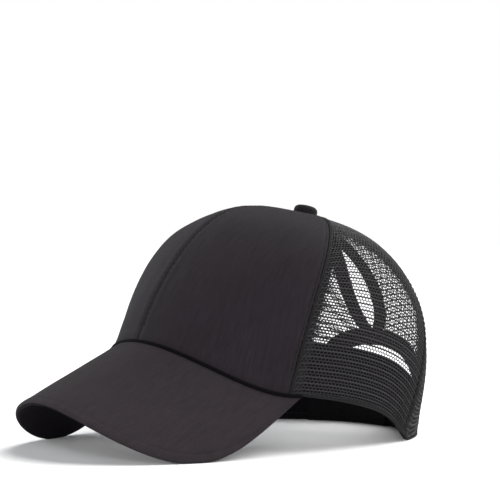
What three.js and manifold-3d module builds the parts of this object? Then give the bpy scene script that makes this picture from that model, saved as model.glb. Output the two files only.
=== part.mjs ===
import * as THREE from "three";
import { mergeVertices } from "three/addons/utils/BufferGeometryUtils.js";
import Module from "manifold-3d";

// Ponytail baseball cap, lying on a flat surface as it does when it is put down.
// Millimetres, +Z up, the surface at z = 0, brim towards -Y, the wearer's left towards +X.
// phi runs round the crown: 0 at the centre front, positive to the wearer's left, pi at the centre back.
// t runs up the crown: 0 at the rim, 1 under the button. Depth is measured inward from the outer face.

const DEGREE = Math.PI / 180;

// Crown form
const RIM_WIDTH = 167.2;
const RIM_LENGTH = 196.8;
const CROWN_HEIGHT = 111.4;
const CROWN_TILT = 15.2;
const BUTTON_SETBACK = 2.4;
const RIM_PLANE_SINK = 2.7;
const REAR_CORNER_POWER = 2.19;
const PANEL_HOLLOW_SHARE = 0.042;
const FRONT_LEAN_SHARE = 0.078;
const FRONT_FULLNESS_SHARE = 0.036;
const REAR_SLIMMING_SHARE = 0.12;
const SIDE_FULLNESS_SHARE = 0.136;
const QUARTER_SWAY_SHARE = 0.03;

// How far the profile reaches out and how fast it rises, in each direction, as exponents
const PROFILE = {
  front: { reachPower: 0.686, risePower: 0.811 },
  side: { reachPower: 0.75, risePower: 0.68 },
  rear: { reachPower: 1.089, risePower: 1.013 },
};

// Rim behind the brim: alongShare is the share of the way from brim corner to rear corner,
// heightShare the share of the brim corner's height over the surface
const RIM_LINE = [
  { alongShare: 0, heightShare: 1 },
  { alongShare: 0.197, heightShare: 0.907 },
  { alongShare: 0.371, heightShare: 0.794 },
  { alongShare: 0.565, heightShare: 0.625 },
  { alongShare: 0.732, heightShare: 0.399 },
  { alongShare: 0.844, heightShare: 0.196 },
  { alongShare: 1, heightShare: 0 },
];
const BRIM_CORNER_ANGLE = 68.2;
const REAR_CORNER_ANGLE = 126.8;

// Brim: a flat crescent bent over a cone whose section is a conic
const BRIM_LENGTH = 72.4;
const BRIM_PITCH = 39.2;
const BRIM_RADIUS = 69;
const BRIM_CONIC_RATIO = -0.451;
const BRIM_TAPER_RATIO = -0.16;
const BRIM_CORNER_POWER = 3.145;
const BRIM_SPREAD_SHARE = 0.017;
const BRIM_CLOTH = 1.5;

// Panels and seams
const PANELS = 6;
const FRONT_CLOTH = 1.6;
const NET_THICKNESS = 1.2;
const FRONT_SEAM_ANGLE_AT_RIM = 63.5;
const FRONT_SEAM_ANGLE_AT_TOP = 74.5;
const FRONT_SEAM_SWING_POWER = 1.5;
const REAR_SEAM_ANGLE = 120;
const TOP_HOLE_RADIUS = 4.5;

// Bands and tapes
const SWEATBAND_HEIGHT = 30;
const SWEATBAND_THICKNESS = 1;
const TAPE_WIDTH = 12;
const TAPE_THICKNESS = 0.8;
const TAPE_TOP_RADIUS = 11;
const TAPE_WIDEST_TURN = 0.3;

// Openings at the back, measured sideways from the centre and up along the centre back
const ARCH_HALF_WIDTH = 43.5;
const ARCH_HEIGHT = 51;
const ARCH_POWER = 2.3;
const SLIT_LENGTH = 60;
const SLIT_HALF_WIDTH = 7.8;
const SLIT_SHAPE_POWER = 0.75;
const BINDING_WIDTH = 10.4;
const BINDING_THICKNESS = 2;
const BINDING_PROUD = 0.4;
const BINDING_TIP_LENGTH = 16.5;
const BINDING_TIP_WIDTH = 4;

// Strap
const STRAP_HEIGHT = 20;
const STRAP_THICKNESS = 1.2;
const STRAP_LAP = 22;
const STRAP_ROOT = 8;

// Button
const BUTTON_RADIUS = 7.2;
const BUTTON_HEIGHT = 7.6;
const BUTTON_EDGE_RADIUS = 2.6;
const BUTTON_STEM_LENGTH = 2.2;

// Fits
const GAP = 0.3;
const LAYER_GAP = 0.5;
const SETTLE = 0.4;

// How far the solids that cut the openings run past the net
const CUTTER_OUTSIDE = 3;
const CUTTER_INSIDE = 5;
const CUTTER_BELOW = 6;

// Facets along and across each cloth solid
const FACETS = {
  front: { columns: 12, rows: 14 },
  net: { columns: 10, rows: 14 },
  archCutter: { columns: 32, rows: 8 },
  slitCutter: { columns: 8, rows: 24 },
  archBinding: { columns: 2, rows: 48 },
  slitBinding: { columns: 2, rows: 20 },
  sweatband: { columns: 64, rows: 4 },
  strap: { columns: 16, rows: 3 },
  tape: { columns: 2, rows: 16 },
  brim: { columns: 36, rows: 7 },
};
const BUTTON_SIDES = 24;
const BUTTON_ROUNDS = 5;

// Share of the way to its pointed corners that the brim's facets run
const BRIM_CORNER_SHARE = 0.997;

const FINISHES = {
  front: { color: 0x2f2b30, roughness: 0.85 },
  brim: { color: 0x353235, roughness: 0.85 },
  underside: { color: 0x161518, roughness: 0.85 },
  net: { color: 0x3a393b, roughness: 0.7 },
  binding: { color: 0x3f3b41, roughness: 0.8 },
  band: { color: 0x1e1c1f, roughness: 0.9 },
  button: { color: 0x232124, roughness: 0.8 },
};

// Numerical settings: small steps for slopes, repeats of the searches, welding distance
const ANGLE_STEP = 1e-4;
const GIRTH_STEP = 1e-3;
const BRIM_STEP = 0.01;
const RIM_PASSES = 8;
const TOP_PASSES = 30;
const TOP_SEARCH_FROM = 0.6;
const MERIDIAN_STEPS = 160;
const LEAST_ROOT = 1e-4;
const WELD = 1e-4;
const DROP_PER_T = 100;

const halfWidth = RIM_WIDTH / 2;
const halfLength = RIM_LENGTH / 2;
const tilt = CROWN_TILT * DEGREE;
const pitch = BRIM_PITCH * DEGREE;
const brimCorner = BRIM_CORNER_ANGLE * DEGREE;
const rearCorner = REAR_CORNER_ANGLE * DEGREE;
const innerLayerDepth = FRONT_CLOTH + LAYER_GAP;

const wasm = await Module();
wasm.setup();

function lerp(from, to, share) {
  return from + (to - from) * share;
}

function clamp(value, low, high) {
  return Math.min(Math.max(value, low), high);
}

function spanOf(rows, index) {
  return rows[index + 1].alongShare - rows[index].alongShare;
}

/** Slope of the rim line at a row: the harmonic mean of its two sides keeps the line monotone. */
function rowSlope(rows, index) {
  const last = rows.length - 1;
  const step = (i) => (rows[i + 1].heightShare - rows[i].heightShare) / spanOf(rows, i);
  if (index === 0) {
    return step(0);
  }
  if (index === last) {
    return 0;
  }
  const before = step(index - 1);
  const after = step(index);
  return (2 * before * after) / (before + after);
}

/** Height share of the rim line, a smooth curve through the rows of RIM_LINE. */
function rimLineHeight(along) {
  const s = clamp(along, 0, 1);
  const found = RIM_LINE.findIndex((row) => s <= row.alongShare);
  const index = Math.max(found, 1) - 1;
  const low = RIM_LINE[index];
  const high = RIM_LINE[index + 1];
  const span = spanOf(RIM_LINE, index);
  const x = (s - low.alongShare) / span;
  const ease = x * x * (3 - 2 * x);
  const leave = rowSlope(RIM_LINE, index) * span * x * (1 - x) ** 2;
  const arrive = rowSlope(RIM_LINE, index + 1) * span * x * x * (1 - x);
  return lerp(low.heightShare, high.heightShare, ease) + leave - arrive;
}

/** Plan of the rim in the crown's own frame: an ellipse in front, squarer at the back. */
function rimPlan(phi) {
  const c = Math.cos(phi);
  const s = Math.sin(phi);
  const rear = Math.max(-c, 0) ** 2;
  const power = lerp(2, REAR_CORNER_POWER, rear);
  const k = (Math.abs(c) ** power + Math.abs(s) ** power) ** (-1 / power);
  return { x: halfWidth * s * k, y: -halfLength * c * k };
}

/** How far the bent brim sags at x sideways and w forward of the rim's front. */
function brimSag(x, w) {
  const radius = BRIM_RADIUS * (1 + (BRIM_TAPER_RATIO * w) / BRIM_LENGTH);
  const root = Math.max(1 - (1 + BRIM_CONIC_RATIO) * (x / radius) ** 2, LEAST_ROOT);
  return (x * x) / radius / (1 + Math.sqrt(root));
}

/** Where the rim crosses the brim's pattern: w forward and the sag there. */
function rimOnBrim(phi) {
  const plan = rimPlan(phi);
  let w = 0;
  for (let pass = 0; pass < RIM_PASSES; pass += 1) {
    w = (brimSag(plan.x, w) * Math.sin(pitch) - (plan.y + halfLength)) / Math.cos(pitch);
  }
  return { x: plan.x, w, sag: brimSag(plan.x, w) };
}

const cornerOnBrim = rimOnBrim(brimCorner);
const frontRise = cornerOnBrim.w * Math.sin(pitch) + cornerOnBrim.sag * Math.cos(pitch);

/** From the crown's own frame, tilted about its rear edge, to the frame of the surface. */
function settle(x, y, z) {
  const back = y - halfLength;
  const sunk = RIM_PLANE_SINK + SETTLE;
  return new THREE.Vector3(
    x,
    back * Math.cos(tilt) + z * Math.sin(tilt) + halfLength,
    -back * Math.sin(tilt) + z * Math.cos(tilt) - sunk,
  );
}

const cornerHeight = settle(0, rimPlan(brimCorner).y, 0).z + SETTLE;

/** Height of the rim over the rim plane, in the crown's own frame. */
function rimRise(phi) {
  const turn = Math.abs(Math.atan2(Math.sin(phi), Math.cos(phi)));
  if (turn < brimCorner) {
    const at = rimOnBrim(turn);
    return frontRise - at.w * Math.sin(pitch) - at.sag * Math.cos(pitch);
  }
  const along = (turn - brimCorner) / (rearCorner - brimCorner);
  const wanted = cornerHeight * rimLineHeight(along);
  const back = rimPlan(phi).y - halfLength;
  return (wanted + RIM_PLANE_SINK + back * Math.sin(tilt)) / Math.cos(tilt);
}

/** Shares of the front, side and rear profiles at phi. */
function profileShares(phi) {
  const front = Math.max(Math.cos(phi), 0) ** 2;
  const rear = Math.max(-Math.cos(phi), 0) ** 2;
  return { front, rear, side: 1 - front - rear };
}

function blendProfile(shares, key) {
  const { front, side, rear } = PROFILE;
  return shares.front * front[key] + shares.side * side[key] + shares.rear * rear[key];
}

/**
 * How far out the crown stands at phi and t, as a share of the rim's plan. The front quarters are
 * fuller than an ellipse, and the rear quarters are fuller low down and flatter above.
 */
function crownReach(phi, t) {
  const shares = profileShares(phi);
  const reach = Math.cos((t * Math.PI) / 2) ** blendProfile(shares, "reachPower");
  const swell = Math.sin(Math.PI * t);
  const hollow = 1 - PANEL_HOLLOW_SHARE * Math.sin((PANELS / 2) * phi) ** 2 * Math.sqrt(swell);
  const lean = 1 - FRONT_LEAN_SHARE * shares.front * swell;
  const body = 1 + (SIDE_FULLNESS_SHARE * shares.side - REAR_SLIMMING_SHARE * shares.rear) * swell;
  const corner = Math.sin(2 * phi) ** 2;
  const sway = QUARTER_SWAY_SHARE * Math.sin(2 * Math.PI * t);
  const fullness = shares.front > 0 ? FRONT_FULLNESS_SHARE * swell : sway;
  return reach * hollow * lean * body * (1 + fullness * corner);
}

/** Outer face of the crown. Below the rim (t under 0) it runs straight down, DROP_PER_T for each 1. */
function crownPoint(phi, t) {
  const up = clamp(t, 0, 1);
  const rise = Math.sin((up * Math.PI) / 2) ** blendProfile(profileShares(phi), "risePower");
  const plan = rimPlan(phi);
  const reach = crownReach(phi, up);
  const z = rimRise(phi) * (1 - rise) + CROWN_HEIGHT * rise;
  const point = settle(plan.x * reach, BUTTON_SETBACK * rise + plan.y * reach, z);
  point.z += Math.min(t, 0) * DROP_PER_T;
  return point;
}

/** A point at a depth under the crown's outer face. */
function crownAt(phi, t, depth) {
  const step = ANGLE_STEP;
  const low = clamp(t - step, 0, 1 - 2 * step);
  const along = crownPoint(phi + step, low + step).sub(crownPoint(phi - step, low + step));
  const up = crownPoint(phi, low + 2 * step).sub(crownPoint(phi, low));
  const normal = along.cross(up).normalize();
  return crownPoint(phi, t).addScaledVector(normal, -depth);
}

/** Millimetres round the crown for each radian of phi. */
function girth(phi, t) {
  const step = GIRTH_STEP;
  return crownPoint(phi + step, t).distanceTo(crownPoint(phi - step, t)) / (2 * step);
}

/** t at which the crown has closed in to a radius round the button's axis. */
function topT(phi, radius) {
  let low = TOP_SEARCH_FROM;
  let high = 1;
  for (let pass = 0; pass < TOP_PASSES; pass += 1) {
    const middle = (low + high) / 2;
    const plan = rimPlan(phi);
    const reach = Math.hypot(plan.x, plan.y) * crownReach(phi, middle);
    if (reach > radius) {
      low = middle;
    } else {
      high = middle;
    }
  }
  return low;
}

const meridians = new Map();

/** Arc lengths up the crown at phi, from the rim to the top. */
function meridian(phi) {
  if (!meridians.has(phi)) {
    const lengths = [0];
    let before = crownPoint(phi, 0);
    for (let i = 1; i <= MERIDIAN_STEPS; i += 1) {
      const next = crownPoint(phi, i / MERIDIAN_STEPS);
      lengths.push(lengths[i - 1] + next.distanceTo(before));
      before = next;
    }
    meridians.set(phi, lengths);
  }
  return meridians.get(phi);
}

/** t at a height measured up along the crown from the rim. */
function tAtHeight(phi, height) {
  if (height <= 0) {
    return height / DROP_PER_T;
  }
  const lengths = meridian(phi);
  const found = lengths.findIndex((length) => length >= height);
  const index = found < 0 ? MERIDIAN_STEPS : found;
  const share = (height - lengths[index - 1]) / (lengths[index] - lengths[index - 1]);
  return (index - 1 + clamp(share, 0, 1)) / MERIDIAN_STEPS;
}

/** Height up along the crown at t, the inverse of tAtHeight. */
function heightAtT(phi, t) {
  const at = clamp(t, 0, 1) * MERIDIAN_STEPS;
  const index = Math.min(Math.floor(at), MERIDIAN_STEPS - 1);
  return lerp(meridian(phi)[index], meridian(phi)[index + 1], at - index);
}

/** A point at the back: sideways from the centre, up along the centre back, at a depth. */
function rearAt(sideways, height, depth) {
  const t = tAtHeight(Math.PI, height);
  const phi = Math.PI - sideways / girth(Math.PI, Math.max(t, 0));
  return crownAt(phi, t, depth);
}

/** Turns a geometry so that its faces point outward. */
function facingOut(geometry) {
  const position = geometry.getAttribute("position");
  const index = geometry.getIndex();
  const corners = [new THREE.Vector3(), new THREE.Vector3(), new THREE.Vector3()];
  let volume = 0;
  for (let i = 0; i < index.count; i += 3) {
    corners.forEach((corner, k) => corner.fromBufferAttribute(position, index.getX(i + k)));
    volume += corners[0].dot(corners[1].clone().cross(corners[2]));
  }
  if (volume < 0) {
    for (let i = 0; i < index.count; i += 3) {
      const kept = index.getX(i + 1);
      index.setX(i + 1, index.getX(i + 2));
      index.setX(i + 2, kept);
    }
  }
  return geometry;
}

/**
 * A closed sheet of cloth. place(a, b, depth) gives a point for a and b from 0 to 1;
 * the sheet fills the depths from outer to inner.
 */
function sheet(place, facets, outer, inner) {
  const { columns, rows } = facets;
  const positions = [];
  const triangles = [];
  const face = (columns + 1) * (rows + 1);
  for (const depth of [outer, inner]) {
    for (let i = 0; i <= columns; i += 1) {
      for (let j = 0; j <= rows; j += 1) {
        positions.push(...place(i / columns, j / rows, depth).toArray());
      }
    }
  }
  const id = (side, i, j) => side * face + i * (rows + 1) + j;
  const quad = (a, b, c, d) => triangles.push(a, b, c, a, c, d);
  for (let i = 0; i < columns; i += 1) {
    for (let j = 0; j < rows; j += 1) {
      quad(id(0, i, j), id(0, i + 1, j), id(0, i + 1, j + 1), id(0, i, j + 1));
      quad(id(1, i, j), id(1, i, j + 1), id(1, i + 1, j + 1), id(1, i + 1, j));
    }
    quad(id(0, i, 0), id(1, i, 0), id(1, i + 1, 0), id(0, i + 1, 0));
    quad(id(0, i, rows), id(0, i + 1, rows), id(1, i + 1, rows), id(1, i, rows));
  }
  for (let j = 0; j < rows; j += 1) {
    quad(id(0, 0, j), id(0, 0, j + 1), id(1, 0, j + 1), id(1, 0, j));
    quad(id(0, columns, j), id(1, columns, j), id(1, columns, j + 1), id(0, columns, j + 1));
  }
  const geometry = new THREE.BufferGeometry();
  geometry.setAttribute("position", new THREE.Float32BufferAttribute(positions, 3));
  geometry.setIndex(triangles);
  return facingOut(geometry);
}

function solidOf(geometry) {
  const bare = geometry.clone();
  bare.deleteAttribute("normal");
  bare.deleteAttribute("uv");
  const merged = mergeVertices(bare, WELD);
  const vertProperties = new Float32Array(merged.getAttribute("position").array);
  const triVerts = new Uint32Array(merged.getIndex().array);
  return new wasm.Manifold(new wasm.Mesh({ numProp: 3, vertProperties, triVerts }));
}

function geometryOf(solid) {
  const mesh = solid.getMesh();
  const geometry = new THREE.BufferGeometry();
  geometry.setAttribute("position", new THREE.Float32BufferAttribute(mesh.vertProperties, 3));
  geometry.setIndex(new THREE.Uint32BufferAttribute(mesh.triVerts, 1));
  return geometry;
}

/** What lies under the surface that the cap rests on. */
function underTheSurface() {
  const reach = 2 * (RIM_LENGTH + BRIM_LENGTH);
  const block = new THREE.BoxGeometry(reach, reach, CROWN_HEIGHT);
  block.translate(0, 0, -CROWN_HEIGHT / 2);
  return solidOf(block);
}

const ground = underTheSurface();

/** The cloth that meets the surface lies flat on it. */
function restingOnSurface(solid) {
  return geometryOf(solid.subtract(ground));
}

function cloth(name, geometry, finish) {
  const material = new THREE.MeshStandardMaterial({ ...finish, metalness: 0 });
  const mesh = new THREE.Mesh(geometry, material);
  mesh.name = name;
  return mesh;
}

/** Seam between a front panel and a side panel: it swings back on its way up. */
function frontSeam(t) {
  const swing = clamp(t, 0, 1) ** FRONT_SEAM_SWING_POWER;
  return lerp(FRONT_SEAM_ANGLE_AT_RIM, FRONT_SEAM_ANGLE_AT_TOP, swing) * DEGREE;
}

function rearSeam() {
  return REAR_SEAM_ANGLE * DEGREE;
}

/** A crown panel between two seams, on the wearer's left (side 1) or right (side -1). */
function crownPanel(side, fromSeam, toSeam, thickness, facets) {
  const place = (a, b, depth) => {
    const top = topT(side * toSeam(1), TOP_HOLE_RADIUS);
    const middle = (fromSeam(0.5) + toSeam(0.5)) / 2;
    const t = Math.min(tAtHeight(side * middle, b * heightAtT(side * middle, top)), top);
    const edge = GAP / 2 / Math.max(girth(side * middle, t), TOP_HOLE_RADIUS);
    const phi = lerp(fromSeam(t) + edge, toSeam(t) - edge, a);
    const own = topT(side * phi, TOP_HOLE_RADIUS);
    return crownAt(side * phi, (t / top) * own, depth);
  };
  return sheet(place, facets, 0, thickness);
}

function frontPanel(side) {
  const geometry = crownPanel(side, () => 0, frontSeam, FRONT_CLOTH, FACETS.front);
  const name = side > 0 ? "front_panel_left" : "front_panel_right";
  return cloth(name, restingOnSurface(solidOf(geometry)), FINISHES.front);
}

function sideNet(side) {
  const geometry = crownPanel(side, frontSeam, rearSeam, NET_THICKNESS, FACETS.net);
  const name = side > 0 ? "side_net_left" : "side_net_right";
  return cloth(name, restingOnSurface(solidOf(geometry)), FINISHES.net);
}

/** Half the width of the slit at a share of its length, blunt at the foot and sharp at the top. */
function slitHalfWidth(share) {
  return SLIT_HALF_WIDTH * Math.sin(Math.PI * clamp(share, 0, 1) ** SLIT_SHAPE_POWER);
}

const slitFoot = ARCH_HEIGHT + BINDING_WIDTH + GAP;
const slitTop = slitFoot + SLIT_LENGTH;
const bindingTip = slitTop + BINDING_TIP_LENGTH;

/** Outer edge of the slit's binding, which narrows to its tip above the slit. */
function slitBindingEdge(height) {
  const past = clamp((height - slitTop) / BINDING_TIP_LENGTH, 0, 1);
  const width = lerp(BINDING_WIDTH, BINDING_TIP_WIDTH, past);
  return slitHalfWidth((height - slitFoot) / SLIT_LENGTH) + width;
}

/** Height of the arch's outline at a place sideways, widened by margin. */
function archHeight(sideways, margin) {
  const share = Math.min(Math.abs(sideways) / (ARCH_HALF_WIDTH + margin), 1);
  return (ARCH_HEIGHT + margin) * (1 - share ** ARCH_POWER) ** (1 / ARCH_POWER);
}

/** Solid that takes the arch and its binding out of the net. */
function archCutter() {
  const margin = BINDING_WIDTH + GAP;
  const place = (a, b, depth) => {
    const sideways = -(ARCH_HALF_WIDTH + margin) * Math.cos(a * Math.PI);
    return rearAt(sideways, lerp(-CUTTER_BELOW, archHeight(sideways, margin), b), depth);
  };
  return solidOf(sheet(place, FACETS.archCutter, -CUTTER_OUTSIDE, CUTTER_INSIDE));
}

/** A point beside the slit. Level with the slit's foot, the cloth follows the arch's binding. */
function besideSlit(sideways, along, depth) {
  const left = (bindingTip - along) / (bindingTip - slitFoot);
  const foot = archHeight(sideways, BINDING_WIDTH) + GAP;
  return rearAt(sideways, along + (foot - slitFoot) * left, depth);
}

/** Solid that takes the slit and its bindings out of the net. */
function slitCutter() {
  const place = (a, b, depth) => {
    const along = lerp(slitFoot - BINDING_WIDTH / 2, bindingTip + GAP, b);
    const half = slitBindingEdge(along) + GAP;
    return besideSlit(lerp(-half, half, a), along, depth);
  };
  return solidOf(sheet(place, FACETS.slitCutter, -CUTTER_OUTSIDE, CUTTER_INSIDE));
}

function rearNet(side, cutters) {
  const geometry = crownPanel(side, rearSeam, () => Math.PI, NET_THICKNESS, FACETS.net);
  const solid = cutters.reduce((rest, cutter) => rest.subtract(cutter), solidOf(geometry));
  const name = side > 0 ? "rear_net_left" : "rear_net_right";
  return cloth(name, restingOnSurface(solid), FINISHES.net);
}

function archBinding() {
  const place = (a, b, depth) => {
    const turn = b * Math.PI;
    const margin = a * BINDING_WIDTH;
    const across = Math.abs(Math.cos(turn)) ** (2 / ARCH_POWER) * Math.sign(Math.cos(turn));
    const sideways = (ARCH_HALF_WIDTH + margin) * across;
    return rearAt(sideways, (ARCH_HEIGHT + margin) * Math.sin(turn) ** (2 / ARCH_POWER), depth);
  };
  const inside = BINDING_THICKNESS - BINDING_PROUD;
  const geometry = sheet(place, FACETS.archBinding, -BINDING_PROUD, inside);
  return cloth("arch_binding", restingOnSurface(solidOf(geometry)), FINISHES.binding);
}

function slitBinding(side) {
  const place = (a, b, depth) => {
    const along = lerp(slitFoot, bindingTip, b);
    const inner = Math.max(slitHalfWidth((along - slitFoot) / SLIT_LENGTH), GAP / 2);
    return besideSlit(side * lerp(inner, slitBindingEdge(along), a), along, depth);
  };
  const inside = BINDING_THICKNESS - BINDING_PROUD;
  const geometry = sheet(place, FACETS.slitBinding, -BINDING_PROUD, inside);
  const name = side > 0 ? "slit_binding_left" : "slit_binding_right";
  return cloth(name, geometry, FINISHES.binding);
}

const bandEnd = ARCH_HALF_WIDTH + GAP;
const strapDepth = innerLayerDepth + SWEATBAND_THICKNESS + LAYER_GAP;

function sweatband() {
  const end = Math.PI - bandEnd / girth(Math.PI, 0);
  const place = (a, b, depth) => {
    const phi = lerp(-end, end, a);
    return crownAt(phi, tAtHeight(phi, b * SWEATBAND_HEIGHT), depth);
  };
  const inside = innerLayerDepth + SWEATBAND_THICKNESS;
  const geometry = sheet(place, FACETS.sweatband, innerLayerDepth, inside);
  return cloth("sweatband", restingOnSurface(solidOf(geometry)), FINISHES.band);
}

/** One half of the strap, sewn inside the sweatband's end and lapped over the other half. */
function strap(side, depth) {
  const place = (a, b, at) => {
    const sideways = side * lerp(bandEnd + STRAP_ROOT, -STRAP_LAP / 2, a);
    return rearAt(sideways, b * STRAP_HEIGHT, at);
  };
  const geometry = sheet(place, FACETS.strap, depth, depth + STRAP_THICKNESS);
  const name = side > 0 ? "strap_left" : "strap_right";
  return cloth(name, restingOnSurface(solidOf(geometry)), FINISHES.band);
}

/** Tape over the inside of a seam, from the sweatband up to the top, where it narrows. */
function seamTape(side, seam, name) {
  const foot = SWEATBAND_HEIGHT + LAYER_GAP;
  const place = (a, b, depth) => {
    const end = topT(side * seam(1), TAPE_TOP_RADIUS);
    const t = lerp(tAtHeight(side * seam(0), foot), end, b);
    const around = girth(side * seam(t), t);
    const half = Math.min(TAPE_WIDTH / 2, TAPE_WIDEST_TURN * around) / around;
    const phi = side * (seam(t) + lerp(-half, half, a));
    return crownAt(phi, lerp(tAtHeight(phi, foot), end, b), depth);
  };
  const inside = innerLayerDepth + TAPE_THICKNESS;
  const geometry = sheet(place, FACETS.tape, innerLayerDepth, inside);
  return cloth(name, geometry, FINISHES.band);
}

/** The brim's upper face in the frame of the surface, at x sideways and w forward. */
function brimPoint(x, w) {
  const sag = brimSag(x, w);
  const y = -halfLength - w * Math.cos(pitch) + sag * Math.sin(pitch);
  return settle(x, y, frontRise - w * Math.sin(pitch) - sag * Math.cos(pitch));
}

function brimAt(x, w, depth) {
  const step = BRIM_STEP;
  const across = brimPoint(x + step, w).sub(brimPoint(x - step, w));
  const forward = brimPoint(x, w + step).sub(brimPoint(x, w - step));
  const normal = across.cross(forward).normalize();
  return brimPoint(x, w).addScaledVector(normal, depth);
}

/** Outer edge of the brim's pattern, u from -1 at the right corner to 1 at the left. */
function brimEdge(u) {
  const turn = (u * Math.PI) / 2;
  const spread = 1 + BRIM_SPREAD_SHARE * Math.sin(2 * turn) ** 2;
  const across = Math.sign(turn) * Math.abs(Math.sin(turn)) ** (2 / BRIM_CORNER_POWER);
  const forward = Math.max(Math.cos(turn), 0) ** (2 / BRIM_CORNER_POWER);
  return {
    x: cornerOnBrim.x * across * spread,
    w: lerp(cornerOnBrim.w, BRIM_LENGTH, forward),
  };
}

/** One cloth face of the brim, between two depths under its upper face. */
function brimCloth(name, outer, inner, finish) {
  const place = (a, b, depth) => {
    const u = Math.sin(((2 * a - 1) * BRIM_CORNER_SHARE * Math.PI) / 2);
    const inside = rimOnBrim(u * brimCorner);
    const edge = brimEdge(u);
    return brimAt(lerp(inside.x, edge.x, b), lerp(inside.w + GAP, edge.w, b), depth);
  };
  const geometry = sheet(place, FACETS.brim, outer, inner);
  return cloth(name, restingOnSurface(solidOf(geometry)), finish);
}

/** The button: a rounded drum with a stem that fills the hole where the panels meet. */
function button() {
  const stem = TOP_HOLE_RADIUS - GAP;
  const profile = [
    new THREE.Vector2(0, -BUTTON_STEM_LENGTH),
    new THREE.Vector2(stem, -BUTTON_STEM_LENGTH),
    new THREE.Vector2(stem, GAP),
    new THREE.Vector2(BUTTON_RADIUS, GAP),
  ];
  for (let i = 0; i <= BUTTON_ROUNDS; i += 1) {
    const turn = (i / BUTTON_ROUNDS) * (Math.PI / 2);
    profile.push(new THREE.Vector2(
      BUTTON_RADIUS - BUTTON_EDGE_RADIUS * (1 - Math.cos(turn)),
      BUTTON_HEIGHT - BUTTON_EDGE_RADIUS * (1 - Math.sin(turn)),
    ));
  }
  profile.push(new THREE.Vector2(0, BUTTON_HEIGHT));
  const geometry = geometryOf(solidOf(new THREE.LatheGeometry(profile, BUTTON_SIDES)));
  const mesh = cloth("button", geometry, FINISHES.button);
  mesh.position.copy(settle(0, BUTTON_SETBACK, CROWN_HEIGHT));
  mesh.rotation.x = Math.PI / 2 - tilt;
  return mesh;
}

/** Puts the middle of the cap's outline over the origin. */
function centred(group) {
  group.updateMatrixWorld(true);
  const box = new THREE.Box3().setFromObject(group, true);
  group.position.x -= (box.min.x + box.max.x) / 2;
  group.position.y -= (box.min.y + box.max.y) / 2;
  return group;
}

function cap() {
  const group = new THREE.Group();
  const cutters = [archCutter(), slitCutter()];
  for (const side of [1, -1]) {
    const word = side > 0 ? "left" : "right";
    group.add(frontPanel(side));
    group.add(sideNet(side));
    group.add(rearNet(side, cutters));
    group.add(slitBinding(side));
    group.add(seamTape(side, frontSeam, `front_seam_tape_${word}`));
    group.add(seamTape(side, rearSeam, `rear_seam_tape_${word}`));
  }
  group.add(archBinding());
  group.add(sweatband());
  group.add(strap(1, strapDepth));
  group.add(strap(-1, strapDepth + STRAP_THICKNESS + LAYER_GAP));
  const underFace = BRIM_CLOTH + GAP;
  group.add(brimCloth("brim_upper", 0, BRIM_CLOTH, FINISHES.brim));
  group.add(brimCloth("brim_under", underFace, underFace + BRIM_CLOTH, FINISHES.underside));
  group.add(button());
  return centred(group);
}

export default cap();
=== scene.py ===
"""Ponytail baseball cap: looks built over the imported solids.

The cloth is drawn with the same formulas and sizes as the solids, only finer, and the net is real
yarn with real holes. Sizes are in millimetres, and points become metres when a mesh is made.
phi runs round the crown: 0 at the centre front, positive to the wearer's left, pi at the centre back.
t runs up the crown: 0 at the rim, 1 under the button. Depth is measured inward from the outer face.
"""

import logging
import math
from dataclasses import dataclass
from enum import Enum
from functools import cached_property
from typing import Callable, Sequence

import bpy
import numpy as np
from mathutils import Matrix, Vector

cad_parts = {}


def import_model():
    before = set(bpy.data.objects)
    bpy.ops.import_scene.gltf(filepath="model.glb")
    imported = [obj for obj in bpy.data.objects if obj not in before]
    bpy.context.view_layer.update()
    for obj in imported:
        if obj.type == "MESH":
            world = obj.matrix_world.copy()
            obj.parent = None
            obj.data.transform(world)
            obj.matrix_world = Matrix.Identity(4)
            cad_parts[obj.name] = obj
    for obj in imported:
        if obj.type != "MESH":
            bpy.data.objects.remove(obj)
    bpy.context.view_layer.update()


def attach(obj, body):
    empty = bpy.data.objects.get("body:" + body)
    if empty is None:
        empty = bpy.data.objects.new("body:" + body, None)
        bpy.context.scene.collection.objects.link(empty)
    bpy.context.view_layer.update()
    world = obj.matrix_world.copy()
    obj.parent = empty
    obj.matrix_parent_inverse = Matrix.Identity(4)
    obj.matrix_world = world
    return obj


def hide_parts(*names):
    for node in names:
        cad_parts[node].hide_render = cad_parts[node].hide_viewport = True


Array = np.ndarray
Mesh = tuple[Array, Array, Array]  # points, four-cornered faces, cloth coordinates of the points
Place = Callable[[Array, Array, Array], Array]  # two directions and a depth to points
Seam = Callable[[Array], Array]  # height t to direction phi
Inputs = dict[str | int, object]
Span = tuple[float, float, int]  # first value, last value and number of values
Crowding = tuple[int, float, float]  # what graded() takes
Socket = bpy.types.NodeSocket
DEGREE = math.pi / 180
MM = 0.001
UV_NAME = "cloth_mm"
TINY = 1e-12
LEAST_CLOTH = 0.1
STITCH_GIRTH = 12.0  # least girth for each radian where stitches follow a seam
CORD_END = np.array([0.02, 0.75, 0.75, 0.02])  # radii of a cord's first two and last two rings
WAVES = (  # length, direction, phase and height of each wave in the cloth
    (71, 0.4, 0.3, 0.20),
    (43, 2.1, 1.9, 0.13),
    (29, 1.2, 4.0, 0.07),
    (19, 2.8, 5.1, 0.04),
)

log = logging.getLogger("cap")


class Side(Enum):
    """Side of the cap as the wearer has it."""

    LEFT = 1
    RIGHT = -1

    @property
    def word(self) -> str:
        """The side's name as it stands in the node names."""
        return self.name.lower()


def lerp(start: Array, end: Array, share: Array) -> Array:
    """Straight mix: start + (end - start) * share."""
    return start + (end - start) * share


def soft_step(x: Array) -> Array:
    """Smooth rise from 0 at x = 0 to 1 at x = 1: x^2 (3 - 2x), held flat outside."""
    s = np.clip(x, 0.0, 1.0)
    return s * s * (3.0 - 2.0 * s)


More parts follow.
